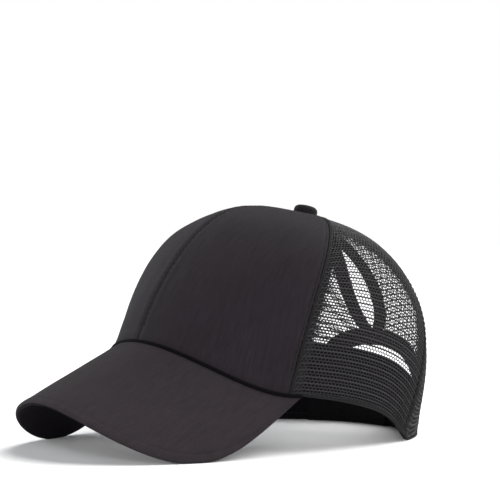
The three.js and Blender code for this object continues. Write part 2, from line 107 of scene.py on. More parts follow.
def bilinear(table: Array, row: Array, column: Array) -> Array:
    """Value of a table between its entries, mixed from the four nearest.

    Args:
        table: Values on a grid of rows and columns.
        row: Row positions, whole numbers falling on entries.
        column: Column positions.

    Returns:
        The mixed values.
    """
    r = np.clip(row, 0, table.shape[0] - 1.001)
    c = np.clip(column, 0, table.shape[1] - 1.001)
    i, j = r.astype(int), c.astype(int)
    low = lerp(table[i, j], table[i + 1, j], r - i)
    high = lerp(table[i, j + 1], table[i + 1, j + 1], r - i)
    return lerp(low, high, c - j)


@dataclass(frozen=True)
class BrimForm:
    """The brim's form: a flat crescent bent over a cone whose section is a conic."""

    length: float = 72.4
    pitch: float = 39.2 * DEGREE
    radius: float = 69.0
    conic: float = -0.451
    taper: float = -0.16
    corner_power: float = 3.145
    spread: float = 0.017
    corner_angle: float = 68.2 * DEGREE
    corner_share: float = 0.997
    least_root: float = 1e-4

    def sag(self, x: Array, w: Array) -> Array:
        """Drop of the bend: x^2 / r / (1 + sqrt(1 - (1 + k)(x / r)^2)), with r changing along w.

        Args:
            x: Places sideways on the flat pattern.
            w: Places forward of the rim's front.

        Returns:
            The drop at each place.
        """
        radius = self.radius * (1 + self.taper * w / self.length)
        root = np.maximum(1 - (1 + self.conic) * (x / radius) ** 2, self.least_root)
        return x * x / radius / (1 + np.sqrt(root))


@dataclass(frozen=True)
class CrownForm:
    """The crown's outer face, a six-panel dome tilted about the rear of its rim."""

    brim: BrimForm
    half_width: float = 167.2 / 2
    half_length: float = 196.8 / 2
    height: float = 111.4
    tilt: float = 15.2 * DEGREE
    setback: float = 2.4
    sink: float = 2.7
    settle_depth: float = 0.4
    rear_power: float = 2.19
    hollow: float = 0.042
    front_lean: float = 0.078
    front_fullness: float = 0.036
    rear_slimming: float = 0.12
    side_fullness: float = 0.136
    quarter_sway: float = 0.03
    reach_powers: tuple[float, float, float] = (0.686, 0.75, 1.089)
    rise_powers: tuple[float, float, float] = (0.811, 0.68, 1.013)
    rim_along: tuple[float, ...] = (0, 0.197, 0.371, 0.565, 0.732, 0.844, 1)
    rim_heights: tuple[float, ...] = (1, 0.907, 0.794, 0.625, 0.399, 0.196, 0)
    rear_corner: float = 126.8 * DEGREE
    drop_per_t: float = 100.0
    front_seam_rim: float = 63.5 * DEGREE
    front_seam_top: float = 74.5 * DEGREE
    front_seam_power: float = 1.5
    rear_seam_angle: float = 120 * DEGREE
    table_rows: int = 720
    table_columns: int = 160
    height_step: float = 0.5
    repeats: int = 8
    halvings: int = 30
    normal_step: float = 1e-4
    girth_step: float = 1e-3
    brim_step: float = 0.01

    def plan(self, phi: Array) -> tuple[Array, Array]:
        """Plan of the rim: (|cos|^n + |sin|^n)^(-1/n) along phi, n growing from 2 towards the back.

        Args:
            phi: Directions round the crown.

        Returns:
            x and y of the rim in the crown's own frame.
        """
        c, s = np.cos(phi), np.sin(phi)
        power = 2 + (self.rear_power - 2) * np.maximum(-c, 0) ** 2
        k = (np.abs(c) ** power + np.abs(s) ** power) ** (-1 / power)
        return self.half_width * s * k, -self.half_length * c * k

    def rim_on_brim(self, phi: Array) -> tuple[Array, Array, Array]:
        """Where the rim crosses the brim's pattern.

        Args:
            phi: Directions round the crown.

        Returns:
            Sideways place, forward place w and sag there; w = (sag sin p - (y + L)) / cos p, by repetition.
        """
        x, y = self.plan(phi)
        p = self.brim.pitch
        w = np.zeros_like(x)
        for _ in range(self.repeats):
            w = (self.brim.sag(x, w) * math.sin(p) - (y + self.half_length)) / math.cos(p)
        return x, w, self.brim.sag(x, w)

    @cached_property
    def brim_corner(self) -> tuple[float, float, float]:
        """Sideways place, forward place and sag at the brim's corner."""
        x, w, sag = self.rim_on_brim(np.array([self.brim.corner_angle]))
        return float(x[0]), float(w[0]), float(sag[0])

    @cached_property
    def front_rise(self) -> float:
        """Height of the rim's front over the rim plane: w sin p + sag cos p at the corner."""
        _, w, sag = self.brim_corner
        return w * math.sin(self.brim.pitch) + sag * math.cos(self.brim.pitch)

    def settle(self, x: Array, y: Array, z: Array) -> Array:
        """Tilts the crown's own frame about its rear edge and lowers it onto the surface.

        Args:
            x: Places to the wearer's left.
            y: Places backward.
            z: Heights over the rim plane.

        Returns:
            Points in the shared frame, in millimetres.
        """
        back = y - self.half_length
        c, s = math.cos(self.tilt), math.sin(self.tilt)
        sunk = self.sink + self.settle_depth
        return np.stack([x + 0 * z, back * c + z * s + self.half_length, -back * s + z * c - sunk], -1)

    @cached_property
    def corner_height(self) -> float:
        """Height of the brim's corner over the surface, before the cap settles."""
        _, y = self.plan(np.array([self.brim.corner_angle]))
        return float(self.settle(np.zeros(1), y, np.zeros(1))[0, 2]) + self.settle_depth

    def rim_line(self, along: Array) -> Array:
        """Height share of the rim behind the brim, a cubic through the rows with harmonic slopes.

        Args:
            along: Share of the way from the brim corner to the rear corner.

        Returns:
            Share of the brim corner's height.
        """
        xs, hs = np.array(self.rim_along), np.array(self.rim_heights)
        steps = np.diff(hs) / np.diff(xs)
        slopes = np.zeros_like(hs)
        slopes[0] = steps[0]
        slopes[1:-1] = 2 * steps[:-1] * steps[1:] / (steps[:-1] + steps[1:])
        s = np.clip(along, 0, 1)
        i = np.clip(np.searchsorted(xs, s, side="left"), 1, len(xs) - 1) - 1
        span = xs[i + 1] - xs[i]
        x = (s - xs[i]) / span
        leave = slopes[i] * span * x * (1 - x) ** 2
        arrive = slopes[i + 1] * span * x * x * (1 - x)
        return lerp(hs[i], hs[i + 1], x * x * (3 - 2 * x)) + leave - arrive

    def rim_rise(self, phi: Array) -> Array:
        """Height of the rim over the rim plane: on the brim in front, along the rim line behind.

        Args:
            phi: Directions round the crown.

        Returns:
            The heights.
        """
        turn = np.abs(np.arctan2(np.sin(phi), np.cos(phi)))
        _, w, sag = self.rim_on_brim(turn)
        front = self.front_rise - w * math.sin(self.brim.pitch) - sag * math.cos(self.brim.pitch)
        along = (turn - self.brim.corner_angle) / (self.rear_corner - self.brim.corner_angle)
        _, y = self.plan(phi)
        wanted = self.corner_height * self.rim_line(along) + self.sink
        rear = (wanted + (y - self.half_length) * math.sin(self.tilt)) / math.cos(self.tilt)
        return np.where(turn < self.brim.corner_angle, front, rear)

    def shares(self, phi: Array) -> tuple[Array, Array, Array]:
        """Front, side and rear shares of the profile: cos^2 ahead, cos^2 behind, and the rest.

        Args:
            phi: Directions round the crown.

        Returns:
            The three shares, which add up to one.
        """
        front = np.maximum(np.cos(phi), 0) ** 2
        rear = np.maximum(-np.cos(phi), 0) ** 2
        return front, 1 - front - rear, rear

    def blend(self, phi: Array, values: Sequence[float]) -> Array:
        """Mix of a front, side and rear value by their shares at phi."""
        front, side, rear = self.shares(phi)
        return front * values[0] + side * values[1] + rear * values[2]

    def reach(self, phi: Array, t: Array) -> Array:
        """How far out the crown stands: cos(pi t / 2)^a times hollow, lean, body and fullness.

        Args:
            phi: Directions round the crown.
            t: Heights t.

        Returns:
            The share of the rim's distance from the axis.
        """
        front, side, rear = self.shares(phi)
        swell = np.sin(math.pi * np.clip(t, 0, 1))
        base = np.maximum(np.cos(t * math.pi / 2), 0) ** self.blend(phi, self.reach_powers)
        hollow = 1 - self.hollow * np.sin(3 * phi) ** 2 * np.sqrt(np.maximum(swell, 0))
        lean = 1 - self.front_lean * front * swell
        body = 1 + (self.side_fullness * side - self.rear_slimming * rear) * swell
        sway = self.quarter_sway * np.sin(2 * math.pi * np.clip(t, 0, 1))
        fullness = np.where(front > 0, self.front_fullness * swell, sway)
        return base * hollow * lean * body * (1 + fullness * np.sin(2 * phi) ** 2)

    def point(self, phi: Array, t: Array) -> Array:
        """Outer face of the crown; below the rim it runs straight down.

        Args:
            phi: Directions round the crown.
            t: Heights t.

        Returns:
            The points.
        """
        up = np.clip(t, 0, 1)
        rise = np.sin(up * math.pi / 2) ** self.blend(phi, self.rise_powers)
        x, y = self.plan(phi)
        reach = self.reach(phi, up)
        z = self.rim_rise(phi) * (1 - rise) + self.height * rise
        points = self.settle(x * reach, self.setback * rise + y * reach, z)
        points[..., 2] += np.minimum(t, 0) * self.drop_per_t
        return points

    def at(self, phi: Array, t: Array, depth: Array) -> Array:
        """A point at a depth under the outer face, along the face's normal.

        Args:
            phi: Directions round the crown.
            t: Heights t.
            depth: Depths under the outer face.

        Returns:
            The points.
        """
        phi, t, depth = np.broadcast_arrays(phi, t, depth)
        step = self.normal_step
        low = np.clip(t - step, 0, 1 - 2 * step)
        along = self.point(phi + step, low + step) - self.point(phi - step, low + step)
        up = self.point(phi, low + 2 * step) - self.point(phi, low)
        return self.point(phi, t) - unit(np.cross(along, up)) * depth[..., None]

    def girth(self, phi: Array, t: Array) -> Array:
        """Millimetres round the crown for each radian of phi.

        Args:
            phi: Directions round the crown.
            t: Heights t.

        Returns:
            The millimetres.
        """
        step = self.girth_step
        across = self.point(phi + step, t) - self.point(phi - step, t)
        return np.linalg.norm(across, axis=-1) / (2 * step)

    def top_t(self, phi: Array, radius: float) -> Array:
        """t at which the crown has closed in to a radius round the button's axis, by halving.

        Args:
            phi: Directions round the crown.
            radius: Distance from the button's axis.

        Returns:
            t for each direction.
        """
        x, y = self.plan(phi)
        low, high = np.full_like(phi, 0.6), np.ones_like(phi)
        for _ in range(self.halvings):
            middle = (low + high) / 2
            outside = np.hypot(x, y) * self.reach(phi, middle) > radius
            low, high = np.where(outside, middle, low), np.where(outside, high, middle)
        return low

    @cached_property
    def arcs(self) -> Array:
        """Arc lengths up the crown, a row for each phi and a column for each t.

        Returns:
            The table.
        """
        phi = np.linspace(-math.pi, math.pi, self.table_rows + 1)[:, None]
        t = np.linspace(0, 1, self.table_columns + 1)
        return run_length(self.point(phi + 0 * t, t + 0 * phi), 1)

    @cached_property
    def t_table(self) -> Array:
        """t for each phi and each height, the arc lengths turned round.

        Returns:
            The table.
        """
        heights = np.arange(0, self.arcs.max(), self.height_step)
        t = np.linspace(0, 1, self.table_columns + 1)
        return np.stack([np.interp(heights, row, t) for row in self.arcs])

    def _row(self, phi: Array) -> Array:
        """Row of the tables that belongs to phi."""
        turn = np.arctan2(np.sin(phi), np.cos(phi))
        return (turn + math.pi) / (2 * math.pi) * self.table_rows

    def t_at(self, phi: Array, height: Array) -> Array:
        """t at a height measured up along the crown from the rim.

        Args:
            phi: Directions round the crown.
            height: Millimetres up from the rim, below zero under it.

        Returns:
            t for each height.
        """
        phi, height = np.broadcast_arrays(phi, height)
        inside = bilinear(self.t_table, self._row(phi), height / self.height_step)
        return np.where(height > 0, inside, height / self.drop_per_t)

    def height_at(self, phi: Array, t: Array) -> Array:
        """Height up along the crown at t, the inverse of t_at."""
        phi, t = np.broadcast_arrays(phi, t)
        return bilinear(self.arcs, self._row(phi), np.clip(t, 0, 1) * self.table_columns)

    def rear(self, sideways: Array, height: Array, depth: Array) -> Array:
        """A point at the back: sideways from the centre, up along the centre back, at a depth.

        Args:
            sideways: Millimetres to the wearer's left.
            height: Millimetres up.
            depth: Depths under the outer face.

        Returns:
            The points.
        """
        t = self.t_at(math.pi, height)
        phi = math.pi - sideways / self.girth(math.pi, np.maximum(t, 0))
        return self.at(phi, t, depth)

    def front_seam(self, t: Array) -> Array:
        """Seam between a front panel and a side panel, swinging back as t to a power."""
        swing = np.clip(t, 0, 1) ** self.front_seam_power
        return lerp(self.front_seam_rim, self.front_seam_top, swing)

    def rear_seam(self, t: Array) -> Array:
        """Seam between a side panel and a rear panel, the same at every height."""
        return self.rear_seam_angle + 0 * t

    def centre(self, t: Array) -> Array:
        """The centre-front seam."""
        return 0 * t

    def centre_back(self, t: Array) -> Array:
        """The centre-back seam."""
        return math.pi + 0 * t

    def beside(self, side: Side, seam: Seam, t: Array, offset: Array, least: float) -> Array:
        """Direction of places at a distance beside a seam.

        Args:
            side: Side of the cap.
            seam: The seam.
            t: Heights.
            offset: Distances behind the seam, negative ahead of it.
            least: Least girth for each radian that counts.

        Returns:
            phi at each place.
        """
        turn = seam(t)
        return side.value * (turn + offset / np.maximum(self.girth(turn, t), least))

    def brim_point(self, x: Array, w: Array) -> Array:
        """The brim's upper face at x sideways and w forward of the rim's front.

        Args:
            x: Places sideways.
            w: Places forward.

        Returns:
            The points.
        """
        sag, p = self.brim.sag(x, w), self.brim.pitch
        y = -self.half_length - w * math.cos(p) + sag * math.sin(p)
        return self.settle(x, y, self.front_rise - w * math.sin(p) - sag * math.cos(p))

    def brim_at(self, x: Array, w: Array, depth: Array) -> Array:
        """A point under the brim's upper face, along its normal.

        Args:
            x: Places sideways.
            w: Places forward.
            depth: Depths under the upper face.

        Returns:
            The points.
        """
        step = self.brim_step
        across = self.brim_point(x + step, w) - self.brim_point(x - step, w)
        forward = self.brim_point(x, w + step) - self.brim_point(x, w - step)
        return self.brim_point(x, w) + unit(np.cross(across, forward)) * np.asarray(depth)[..., None]

    def brim_edge(self, u: Array) -> tuple[Array, Array]:
        """Outer edge of the brim's pattern, u from -1 at the right corner to 1 at the left.

        Args:
            u: Places along the edge.

        Returns:
            x sideways and w forward.
        """
        turn = u * math.pi / 2
        power = 2 / self.brim.corner_power
        spread = 1 + self.brim.spread * np.sin(2 * turn) ** 2
        across = np.sign(turn) * np.abs(np.sin(turn)) ** power
        forward = np.maximum(np.cos(turn), 0) ** power
        corner_x, corner_w, _ = self.brim_corner
        return corner_x * across * spread, lerp(corner_w, self.brim.length, forward)


# Meshes


def unit(vectors: Array) -> Array:
    """Vectors divided by their lengths."""
    return vectors / np.maximum(np.linalg.norm(vectors, axis=-1, keepdims=True), TINY)


def run_length(points: Array, axis: int = 0) -> Array:
    """Distance run along one axis of a grid of points, 0 at its start."""
    steps = np.linalg.norm(np.diff(points, axis=axis), axis=-1)
    return np.concatenate([0 * np.take(steps, [0], axis), np.cumsum(steps, axis)], axis)


def signed_volume(points: Array, faces: Array) -> float:
    """Volume that four-cornered faces enclose, positive when they point outward: sum of p0 . (p1 x p2) / 6."""
    a, b, c, d = (points[faces[:, k]] for k in range(4))
    return float((a * (np.cross(b, c) + np.cross(c, d))).sum()) / 6


@dataclass(frozen=True)
class Workshop:
    """Turns meshes in the crown's frame into finished objects.

    Attributes:
        shift: Distance from the crown's frame to the part's frame, towards the back.
        crease: Angle from which an edge between two faces is drawn sharp.
    """

    shift: float = 29.298
    crease: float = 50 * DEGREE

    def make(self, name: str, mesh: Mesh) -> bpy.types.Object:
        """Makes a smooth, outward-facing object; cloth that would hang below the surface lies on it.

        Args:
            name: Name of the object.
            mesh: Its mesh in millimetres.

        Returns:
            The object, at the origin, with its place in its mesh.
        """
        points, faces, uv = mesh
        placed = points + [0, self.shift, 0]
        placed[:, 2] = np.maximum(placed[:, 2], 0)
        if signed_volume(placed, faces) < 0:
            faces = faces[:, ::-1]
        data = bpy.data.meshes.new(name)
        data.vertices.add(len(placed))
        data.vertices.foreach_set("co", (placed * MM).astype(np.float32).ravel())
        data.loops.add(faces.size)
        data.loops.foreach_set("vertex_index", faces.astype(np.int32).ravel())
        data.polygons.add(len(faces))
        data.polygons.foreach_set("loop_start", np.arange(0, faces.size, 4, dtype=np.int32))
        layer = data.uv_layers.new(name=UV_NAME)
        layer.data.foreach_set("uv", uv[faces.ravel()].astype(np.float32).ravel())
        data.update(calc_edges=True)
        data.polygons.foreach_set("use_smooth", np.ones(len(faces), dtype=bool))
        data.set_sharp_from_angle(angle=self.crease)
        return link(name, data)


def link(name: str, data: bpy.types.ID) -> bpy.types.Object:
    """Puts data into the scene as an object.

    Args:
        name: The object's name.
        data: A mesh, light or camera.

    Returns:
        The object.
    """
    obj = bpy.data.objects.new(name, data)
    bpy.context.scene.collection.objects.link(obj)
    return obj


def grid_of(a: Array, b: Array) -> tuple[Array, Array]:
    """Full grid of two directions; arrays that are already grids pass through."""
    return np.broadcast_arrays(a if a.ndim == 2 else a[:, None], b if b.ndim == 2 else b[None, :])


def sheet(place: Place, a: Array, b: Array, outer: Array, inner: Array, uv: Array | None = None) -> Mesh:
    """A closed sheet of cloth: two grids joined along their borders.

    Args:
        place: Gives points for arrays of a, b and depth.
        a: Places along the first direction, a column of the grid each, or a full grid.
        b: Places along the second direction, a row of the grid each, or a full grid.
        outer: Depth of the outer face, a number or a value for each grid point.
        inner: Depth of the inner face.
        uv: Cloth coordinates, or None to measure them along the outer face.

    Returns:
        The sheet's mesh.
    """
    ga, gb = grid_of(a, b)
    n, m = ga.shape
    top = place(ga, gb, np.broadcast_to(outer, ga.shape))
    low = place(ga, gb, np.broadcast_to(inner, ga.shape))
    ids = np.arange(n * m).reshape(n, m)
    quads = np.stack([ids[:-1, :-1], ids[1:, :-1], ids[1:, 1:], ids[:-1, 1:]], -1).reshape(-1, 4)
    border = np.concatenate([ids[:-1, 0], ids[-1, :-1], ids[:0:-1, -1], ids[0, :0:-1]])
    after = np.roll(border, -1)
    walls = np.stack([border, border + n * m, after + n * m, after], -1)
    if uv is None:
        u = run_length(top, 0)
        uv = np.stack([u - u[n // 2], run_length(top, 1)], -1)
    flat = uv.reshape(-1, 2)
    points = np.concatenate([top.reshape(-1, 3), low.reshape(-1, 3)])
    return points, np.concatenate([quads, quads[:, ::-1] + n * m, walls]), np.concatenate([flat, flat])


def join(parts: Sequence[Mesh]) -> Mesh:
    """Joins meshes into one.

    Args:
        parts: The meshes, in order.

    Returns:
        One mesh with all their faces.
    """
    starts = np.cumsum([0] + [len(points) for points, _, _ in parts[:-1]])
    faces = [part[1] + start for part, start in zip(parts, starts)]
    return np.concatenate([p[0] for p in parts]), np.concatenate(faces), np.concatenate([p[2] for p in parts])


def graded(count: int, fine: float, power: float) -> Array:
    """Places from 0 to 1 that crowd towards both ends.

    Args:
        count: Number of places.
        fine: How much they crowd, from 0 for even to 1.
        power: Sharpness of the crowding.

    Returns:
        The places, even ones mixed with 0.5 + 0.5 sign(x) (1 - (1 - |x|)^power).
    """
    x = np.linspace(-1, 1, count)
    crowded = np.sign(x) * (1 - (1 - np.abs(x)) ** power)
    return 0.5 + 0.5 * lerp(x, crowded, fine)


def roll_off(distance: Array, radius: float) -> Array:
    """Depth of a rounded edge: r - sqrt(r^2 - (r - d)^2) within r of the edge, none beyond."""
    near = np.clip(radius - distance, 0, radius)
    return radius - np.sqrt(np.maximum(radius**2 - near**2, 0))


@dataclass(frozen=True)
class Ridge:
    """A soft ridge along a line of the cloth: height exp(-((d - place) / width)^2)."""

    height: float
    place: float
    width: float

    def at(self, distance: Array) -> Array:
        """Height of the ridge at distances."""
        return self.height * np.exp(-(((distance - self.place) / self.width) ** 2))


def ring_mesh(points: Array, uv: Array) -> Mesh:
    """Closed bodies given as rows of rings, joined ring to ring and fanned shut at both ends.

    Args:
        points: Corners, by body, ring and place round the ring; a ring has an even number.
        uv: Cloth coordinates of the corners.

    Returns:
        The mesh of all the bodies.
    """
    ids = np.arange(points.size // 3).reshape(points.shape[:-1])
    after = np.roll(ids, -1, axis=-1)
    sides = np.stack([ids[:, :-1], after[:, :-1], after[:, 1:], ids[:, 1:]], -1)
    spokes = ids[..., 1:-2:2], ids[..., 2:-1:2], ids[..., 3::2]
    fans = np.stack([ids[..., :1] + 0 * spokes[0], *spokes], -1)
    faces = [quads.reshape(-1, 4) for quads in (sides, fans[:, 0, :, ::-1], fans[:, -1])]
    return points.reshape(-1, 3), np.concatenate(faces), uv.reshape(-1, 2)


def cord_mesh(centres: Array, first: Array, second: Array, size: Array, sides: int, along: Array) -> Mesh:
    """Round cords with rings c + r (cos q n + sin q b).

    Args:
        centres: Middle of each ring, by cord and ring.
        first: Direction n of each ring.
        second: Direction b of each ring, square to n.
        size: Radius r of each ring.
        sides: Number of sides.
        along: Distance run at each ring.

    Returns:
        The mesh of all the cords.
    """
    turn = np.linspace(0, 2 * math.pi, sides, endpoint=False)
    ring = first[..., None, :] * np.cos(turn)[:, None] + second[..., None, :] * np.sin(turn)[:, None]
    points = centres[..., None, :] + ring * size[..., None, None]
    around = turn * np.max(size)
    return ring_mesh(points, np.stack(np.broadcast_arrays(around, along[..., None]), -1))


def tube(path: Array, radius: float, sides: int, across: Array) -> Mesh:
    """A round cord along an open path, rounded off at both ends.

    Args:
        path: Points along the cord.
        radius: Radius of the cord.
        sides: Number of sides.
        across: A direction for each point that isn't along the path.

    Returns:
        The cord's mesh.
    """
    along = unit(np.gradient(path, axis=0))
    first = unit(across - along * (across * along).sum(1, keepdims=True))
    size = np.full(len(path), radius)
    size[[0, 1, -2, -1]] *= CORD_END
    return cord_mesh(path[None], first[None], np.cross(along, first)[None], size[None], sides, run_length(path)[None])


@dataclass(frozen=True)
class Stitch:
    """One stitch of sewing thread, a small spindle that lies on the cloth.

    Attributes:
        length: Length of a stitch.
        gap: Distance to the next.
        radius: Half its thickness.
        sides: Number of sides.
        proud: How far its middle stands out of the cloth, in radii.
        places: Places of its rings, from -1 to 1.
        sizes: Radii of its rings, in radii.
    """

    length: float = 2.6
    gap: float = 0.7
    radius: float = 0.26
    sides: int = 6
    proud: float = 0.6
    places: tuple[float, ...] = (-1, -0.82, -0.3, 0.3, 0.82, 1)
    sizes: tuple[float, ...] = (0.05, 0.62, 1, 1, 0.62, 0.05)

    def row(self, place: Place, a: Array, b: Array, depth: float, beyond: float = 1.0) -> Mesh:
        """A row of stitches on a face.

        Args:
            place: Gives points for arrays of a, b and depth.
            a: First place of points close together along the row.
            b: Their second place.
            depth: Depth of the row.
            beyond: A depth on the cloth's far side, which tells where the stitches stand out.

        Returns:
            The mesh of the row. At x along a stitch its middle stands proud by a share of r (1 - x^2).
        """
        a, b = np.broadcast_arrays(a, b)
        path = place(a, b, depth + 0.0 * a)
        outward = path - place(a, b, beyond + 0.0 * a)
        lengths = run_length(path)
        count = max(int(lengths[-1] / (self.length + self.gap)), 1)
        x = np.array(self.places)
        along = ((np.arange(count) + 0.5) * lengths[-1] / count)[:, None] + x * self.length / 2
        base, up = (np.stack([np.interp(along, lengths, of[:, k]) for k in range(3)], -1) for of in (path, outward))
        up = unit(up)
        side = np.cross(unit(np.gradient(base, axis=1)), up)
        base = base + up * (self.radius * (1 - x**2) * self.proud)[:, None]
        return cord_mesh(base, side, up, np.array(self.sizes) * self.radius, self.sides, along)


# Materials


class Nodes:
    """Adds and joins the nodes of one tree."""

    def __init__(self, tree: bpy.types.NodeTree) -> None:
        """Works in the given tree."""
        self.tree = tree

    def add(self, kind: str, inputs: Inputs | None = None, **settings: object) -> bpy.types.Node:
        """Adds a node.

        Args:
            kind: Type of the node, without its ShaderNode beginning.
            inputs: Values or sockets for its inputs.
            settings: Attributes of the node.

        Returns:
            The node.
        """
        node = self.tree.nodes.new(kind if kind.startswith("Node") else "ShaderNode" + kind)
        for key, value in settings.items():
            setattr(node, key, value)
        self.feed(node, inputs or {})
        return node

    def feed(self, node: bpy.types.Node, inputs: Inputs) -> None:
        """Links or sets inputs of a node.

        Args:
            node: The node.
            inputs: A socket to link, or a value to set, for each input.
        """
        for key, value in inputs.items():
            if isinstance(value, Socket):
                self.tree.links.new(value, node.inputs[key])
            else:
                node.inputs[key].default_value = value

    def math(self, operation: str, first: object, second: object = 0.0) -> Socket:
        """Result of a Math node."""
        return self.add("Math", {0: first, 1: second}, operation=operation).outputs[0]

    def plus(self, first: object, second: object) -> Socket:
        """Sum of two values."""
        return self.math("ADD", first, second)

    def times(self, first: object, second: object) -> Socket:
        """Product of two values."""
        return self.math("MULTIPLY", first, second)

    def shade(self, value: Socket, middle: float, gain: float) -> Socket:
        """(value - middle) times a gain."""
        return self.times(self.math("SUBTRACT", value, middle), gain)

    def group(self, tree: bpy.types.NodeTree, inputs: Inputs) -> Socket:
        """Value of a node group."""
        return self.add("Group", inputs, node_tree=tree).outputs[0]


class Group(Nodes):
    """A shader node group that gives one number."""

    def __init__(self, name: str, **inputs: str) -> None:
        """Starts the group; every input is named with its type, Vector or Float.

        Args:
            name: The group's name.
            inputs: Vector or Float for each input's name.
        """
        super().__init__(bpy.data.node_groups.new(name, "ShaderNodeTree"))
        for label, kind in inputs.items():
            self.tree.interface.new_socket(label, in_out="INPUT", socket_type="NodeSocket" + kind)
        self.tree.interface.new_socket("Value", in_out="OUTPUT", socket_type="NodeSocketFloat")
        self.given = self.add("NodeGroupInput").outputs

    def axes(self) -> Sequence[Socket]:
        """First two coordinates of the group's vector."""
        return self.add("SeparateXYZ", {0: self.given["Vector"]}).outputs[:2]

    def give(self, value: Socket) -> bpy.types.NodeTree:
        """Leads a value out of the group and returns the finished tree."""
        self.add("NodeGroupOutput", {0: value})
        return self.tree


class Effects:
    """The shader node groups that the cloths share."""

    def __init__(self) -> None:
        """Builds each group once."""
        self.weave = self.woven_threads()
        self.slub = self.slub_streaks()
        cloud = Group("cloudiness", Vector="Vector", Scale="Float")
        vector, scale = cloud.given["Vector"], cloud.given["Scale"]
        noise = cloud.add("TexNoise", {"Vector": vector, "Scale": scale, "Detail": 4.0})
        self.cloudiness = cloud.give(noise.outputs[0])

    def woven_threads(self) -> bpy.types.NodeTree:
        """Woven threads: warp |sin x| shows where sin x sin y > 0, weft |sin y| elsewhere.

        Returns:
            The node group.
        """
        n = Group("woven_threads", Vector="Vector", Pitch="Float", Slant="Float")
        per_pitch = n.math("DIVIDE", math.pi, n.given["Pitch"])
        x, y = (n.times(axis, per_pitch) for axis in n.axes())
        slanted = n.plus(x, n.times(y, n.given["Slant"]))
        sx, sy = n.math("SINE", x), n.math("SINE", y)
        over = n.math("GREATER_THAN", n.times(n.math("SINE", slanted), sy))
        warp, weft = n.math("ABSOLUTE", sx), n.math("ABSOLUTE", sy)
        return n.give(n.add("Mix", {0: over, 2: weft, 3: warp}, data_type="FLOAT").outputs[0])

    def slub_streaks(self) -> bpy.types.NodeTree:
        """Slubs: fine noise drawn out along the warp, with a second, broader set laid over it.

        Returns:
            The node group.
        """
        n = Group("slub_streaks", Vector="Vector", Width="Float", Length="Float")
        total: Socket | float = 0.0
        u, v = n.axes()
        for size, weight, offset in ((1.0, 0.6, 0.0), (2.7, 0.4, 31.0)):
            x, y = (n.math("DIVIDE", axis, n.times(n.given[of], size)) for axis, of in ((u, "Width"), (v, "Length")))
            vector = n.add("CombineXYZ", {0: x, 1: y, 2: offset}).outputs[0]
            noise = n.add("TexNoise", {"Vector": vector, "Scale": 1.0, "Detail": 2.0, "Roughness": 0.6})
            total = n.plus(total, n.times(noise.outputs[0], weight))
        return n.give(total)


@dataclass(frozen=True)
class ClothFinish:
    """How one cloth of the cap looks.

    Attributes:
        name: Name of the material.
        slot: Material slot that it belongs to.
        color: Base colour, linear.
        roughness: Roughness of the shader.
        specular: Specular level.
        sheen: Weight of the sheen.
        thread: Thread pitch in millimetres.
        slant: 0 for plain weave, 1 for twill.
        weave_relief: Share of the weave in the bump.
        slub_width: Width of a slub in millimetres.
        slub_length: Length of a slub in millimetres.
        slub_relief: Share of the slubs in the bump.
        slub_shade: How much the slubs change the colour.
        relief: Depth of the bump in millimetres.
        cloud_shade: How much the colour drifts over the piece.
        cloud_scale: Spots of that drift in a metre.
        weave_shade: How much the weave changes the colour.
        span: How far the colour may go from its middle, as a share.
    """

    name: str
    slot: str
    color: tuple[float, float, float]
    roughness: float = 0.85
    specular: float = 0.2
    sheen: float = 0.2
    thread: float = 0.45
    slant: float = 0.0
    weave_relief: float = 0.5
    slub_width: float = 0.5
    slub_length: float = 9.0
    slub_relief: float = 0.5
    slub_shade: float = 0.2
    relief: float = 0.15
    cloud_shade: float = 0.1
    cloud_scale: float = 28.0
    weave_shade: float = 0.25
    span: float = 0.55

    def build(self, effects: Effects) -> bpy.types.Material:
        """Builds the material.

        Args:
            effects: The shared node groups.

        Returns:
            A material that reads the cloth coordinates and Object coordinates.
        """
        material = bpy.data.materials.new(self.name)
        material.use_nodes = True
        n = Nodes(material.node_tree)
        cloth = n.add("UVMap", uv_map=UV_NAME).outputs[0]
        solid = n.add("TexCoord").outputs["Object"]
        weave = n.group(effects.weave, {"Vector": cloth, "Pitch": self.thread, "Slant": self.slant})
        slub = n.group(effects.slub, {"Vector": cloth, "Width": self.slub_width, "Length": self.slub_length})
        cloud = n.group(effects.cloudiness, {"Vector": solid, "Scale": self.cloud_scale})
        height = n.plus(n.times(weave, self.weave_relief), n.times(slub, self.slub_relief))
        bump = n.add("Bump", {"Height": height, "Distance": self.relief * MM, "Strength": 1.0})
        lift = n.plus(n.shade(slub, 0.5, 4 * self.slub_shade), n.shade(cloud, 0.5, 4 * self.cloud_shade))
        lift = n.plus(lift, n.shade(weave, 0.6, self.weave_shade))
        dark, light = ((*(c * (1 + way * self.span) for c in self.color), 1) for way in (-1, 1))
        tone = n.add("Mix", {0: n.plus(lift, 0.5), 6: dark, 7: light}, data_type="RGBA", clamp_factor=True)
        n.feed(n.tree.nodes["Principled BSDF"], {
            "Base Color": tone.outputs[2],
            "Roughness": n.plus(n.times(cloud, 0.1), self.roughness - 0.05),
            "Normal": bump.outputs[0],
            "Specular IOR Level": self.specular,
            "Sheen Weight": self.sheen,
        })
        return material


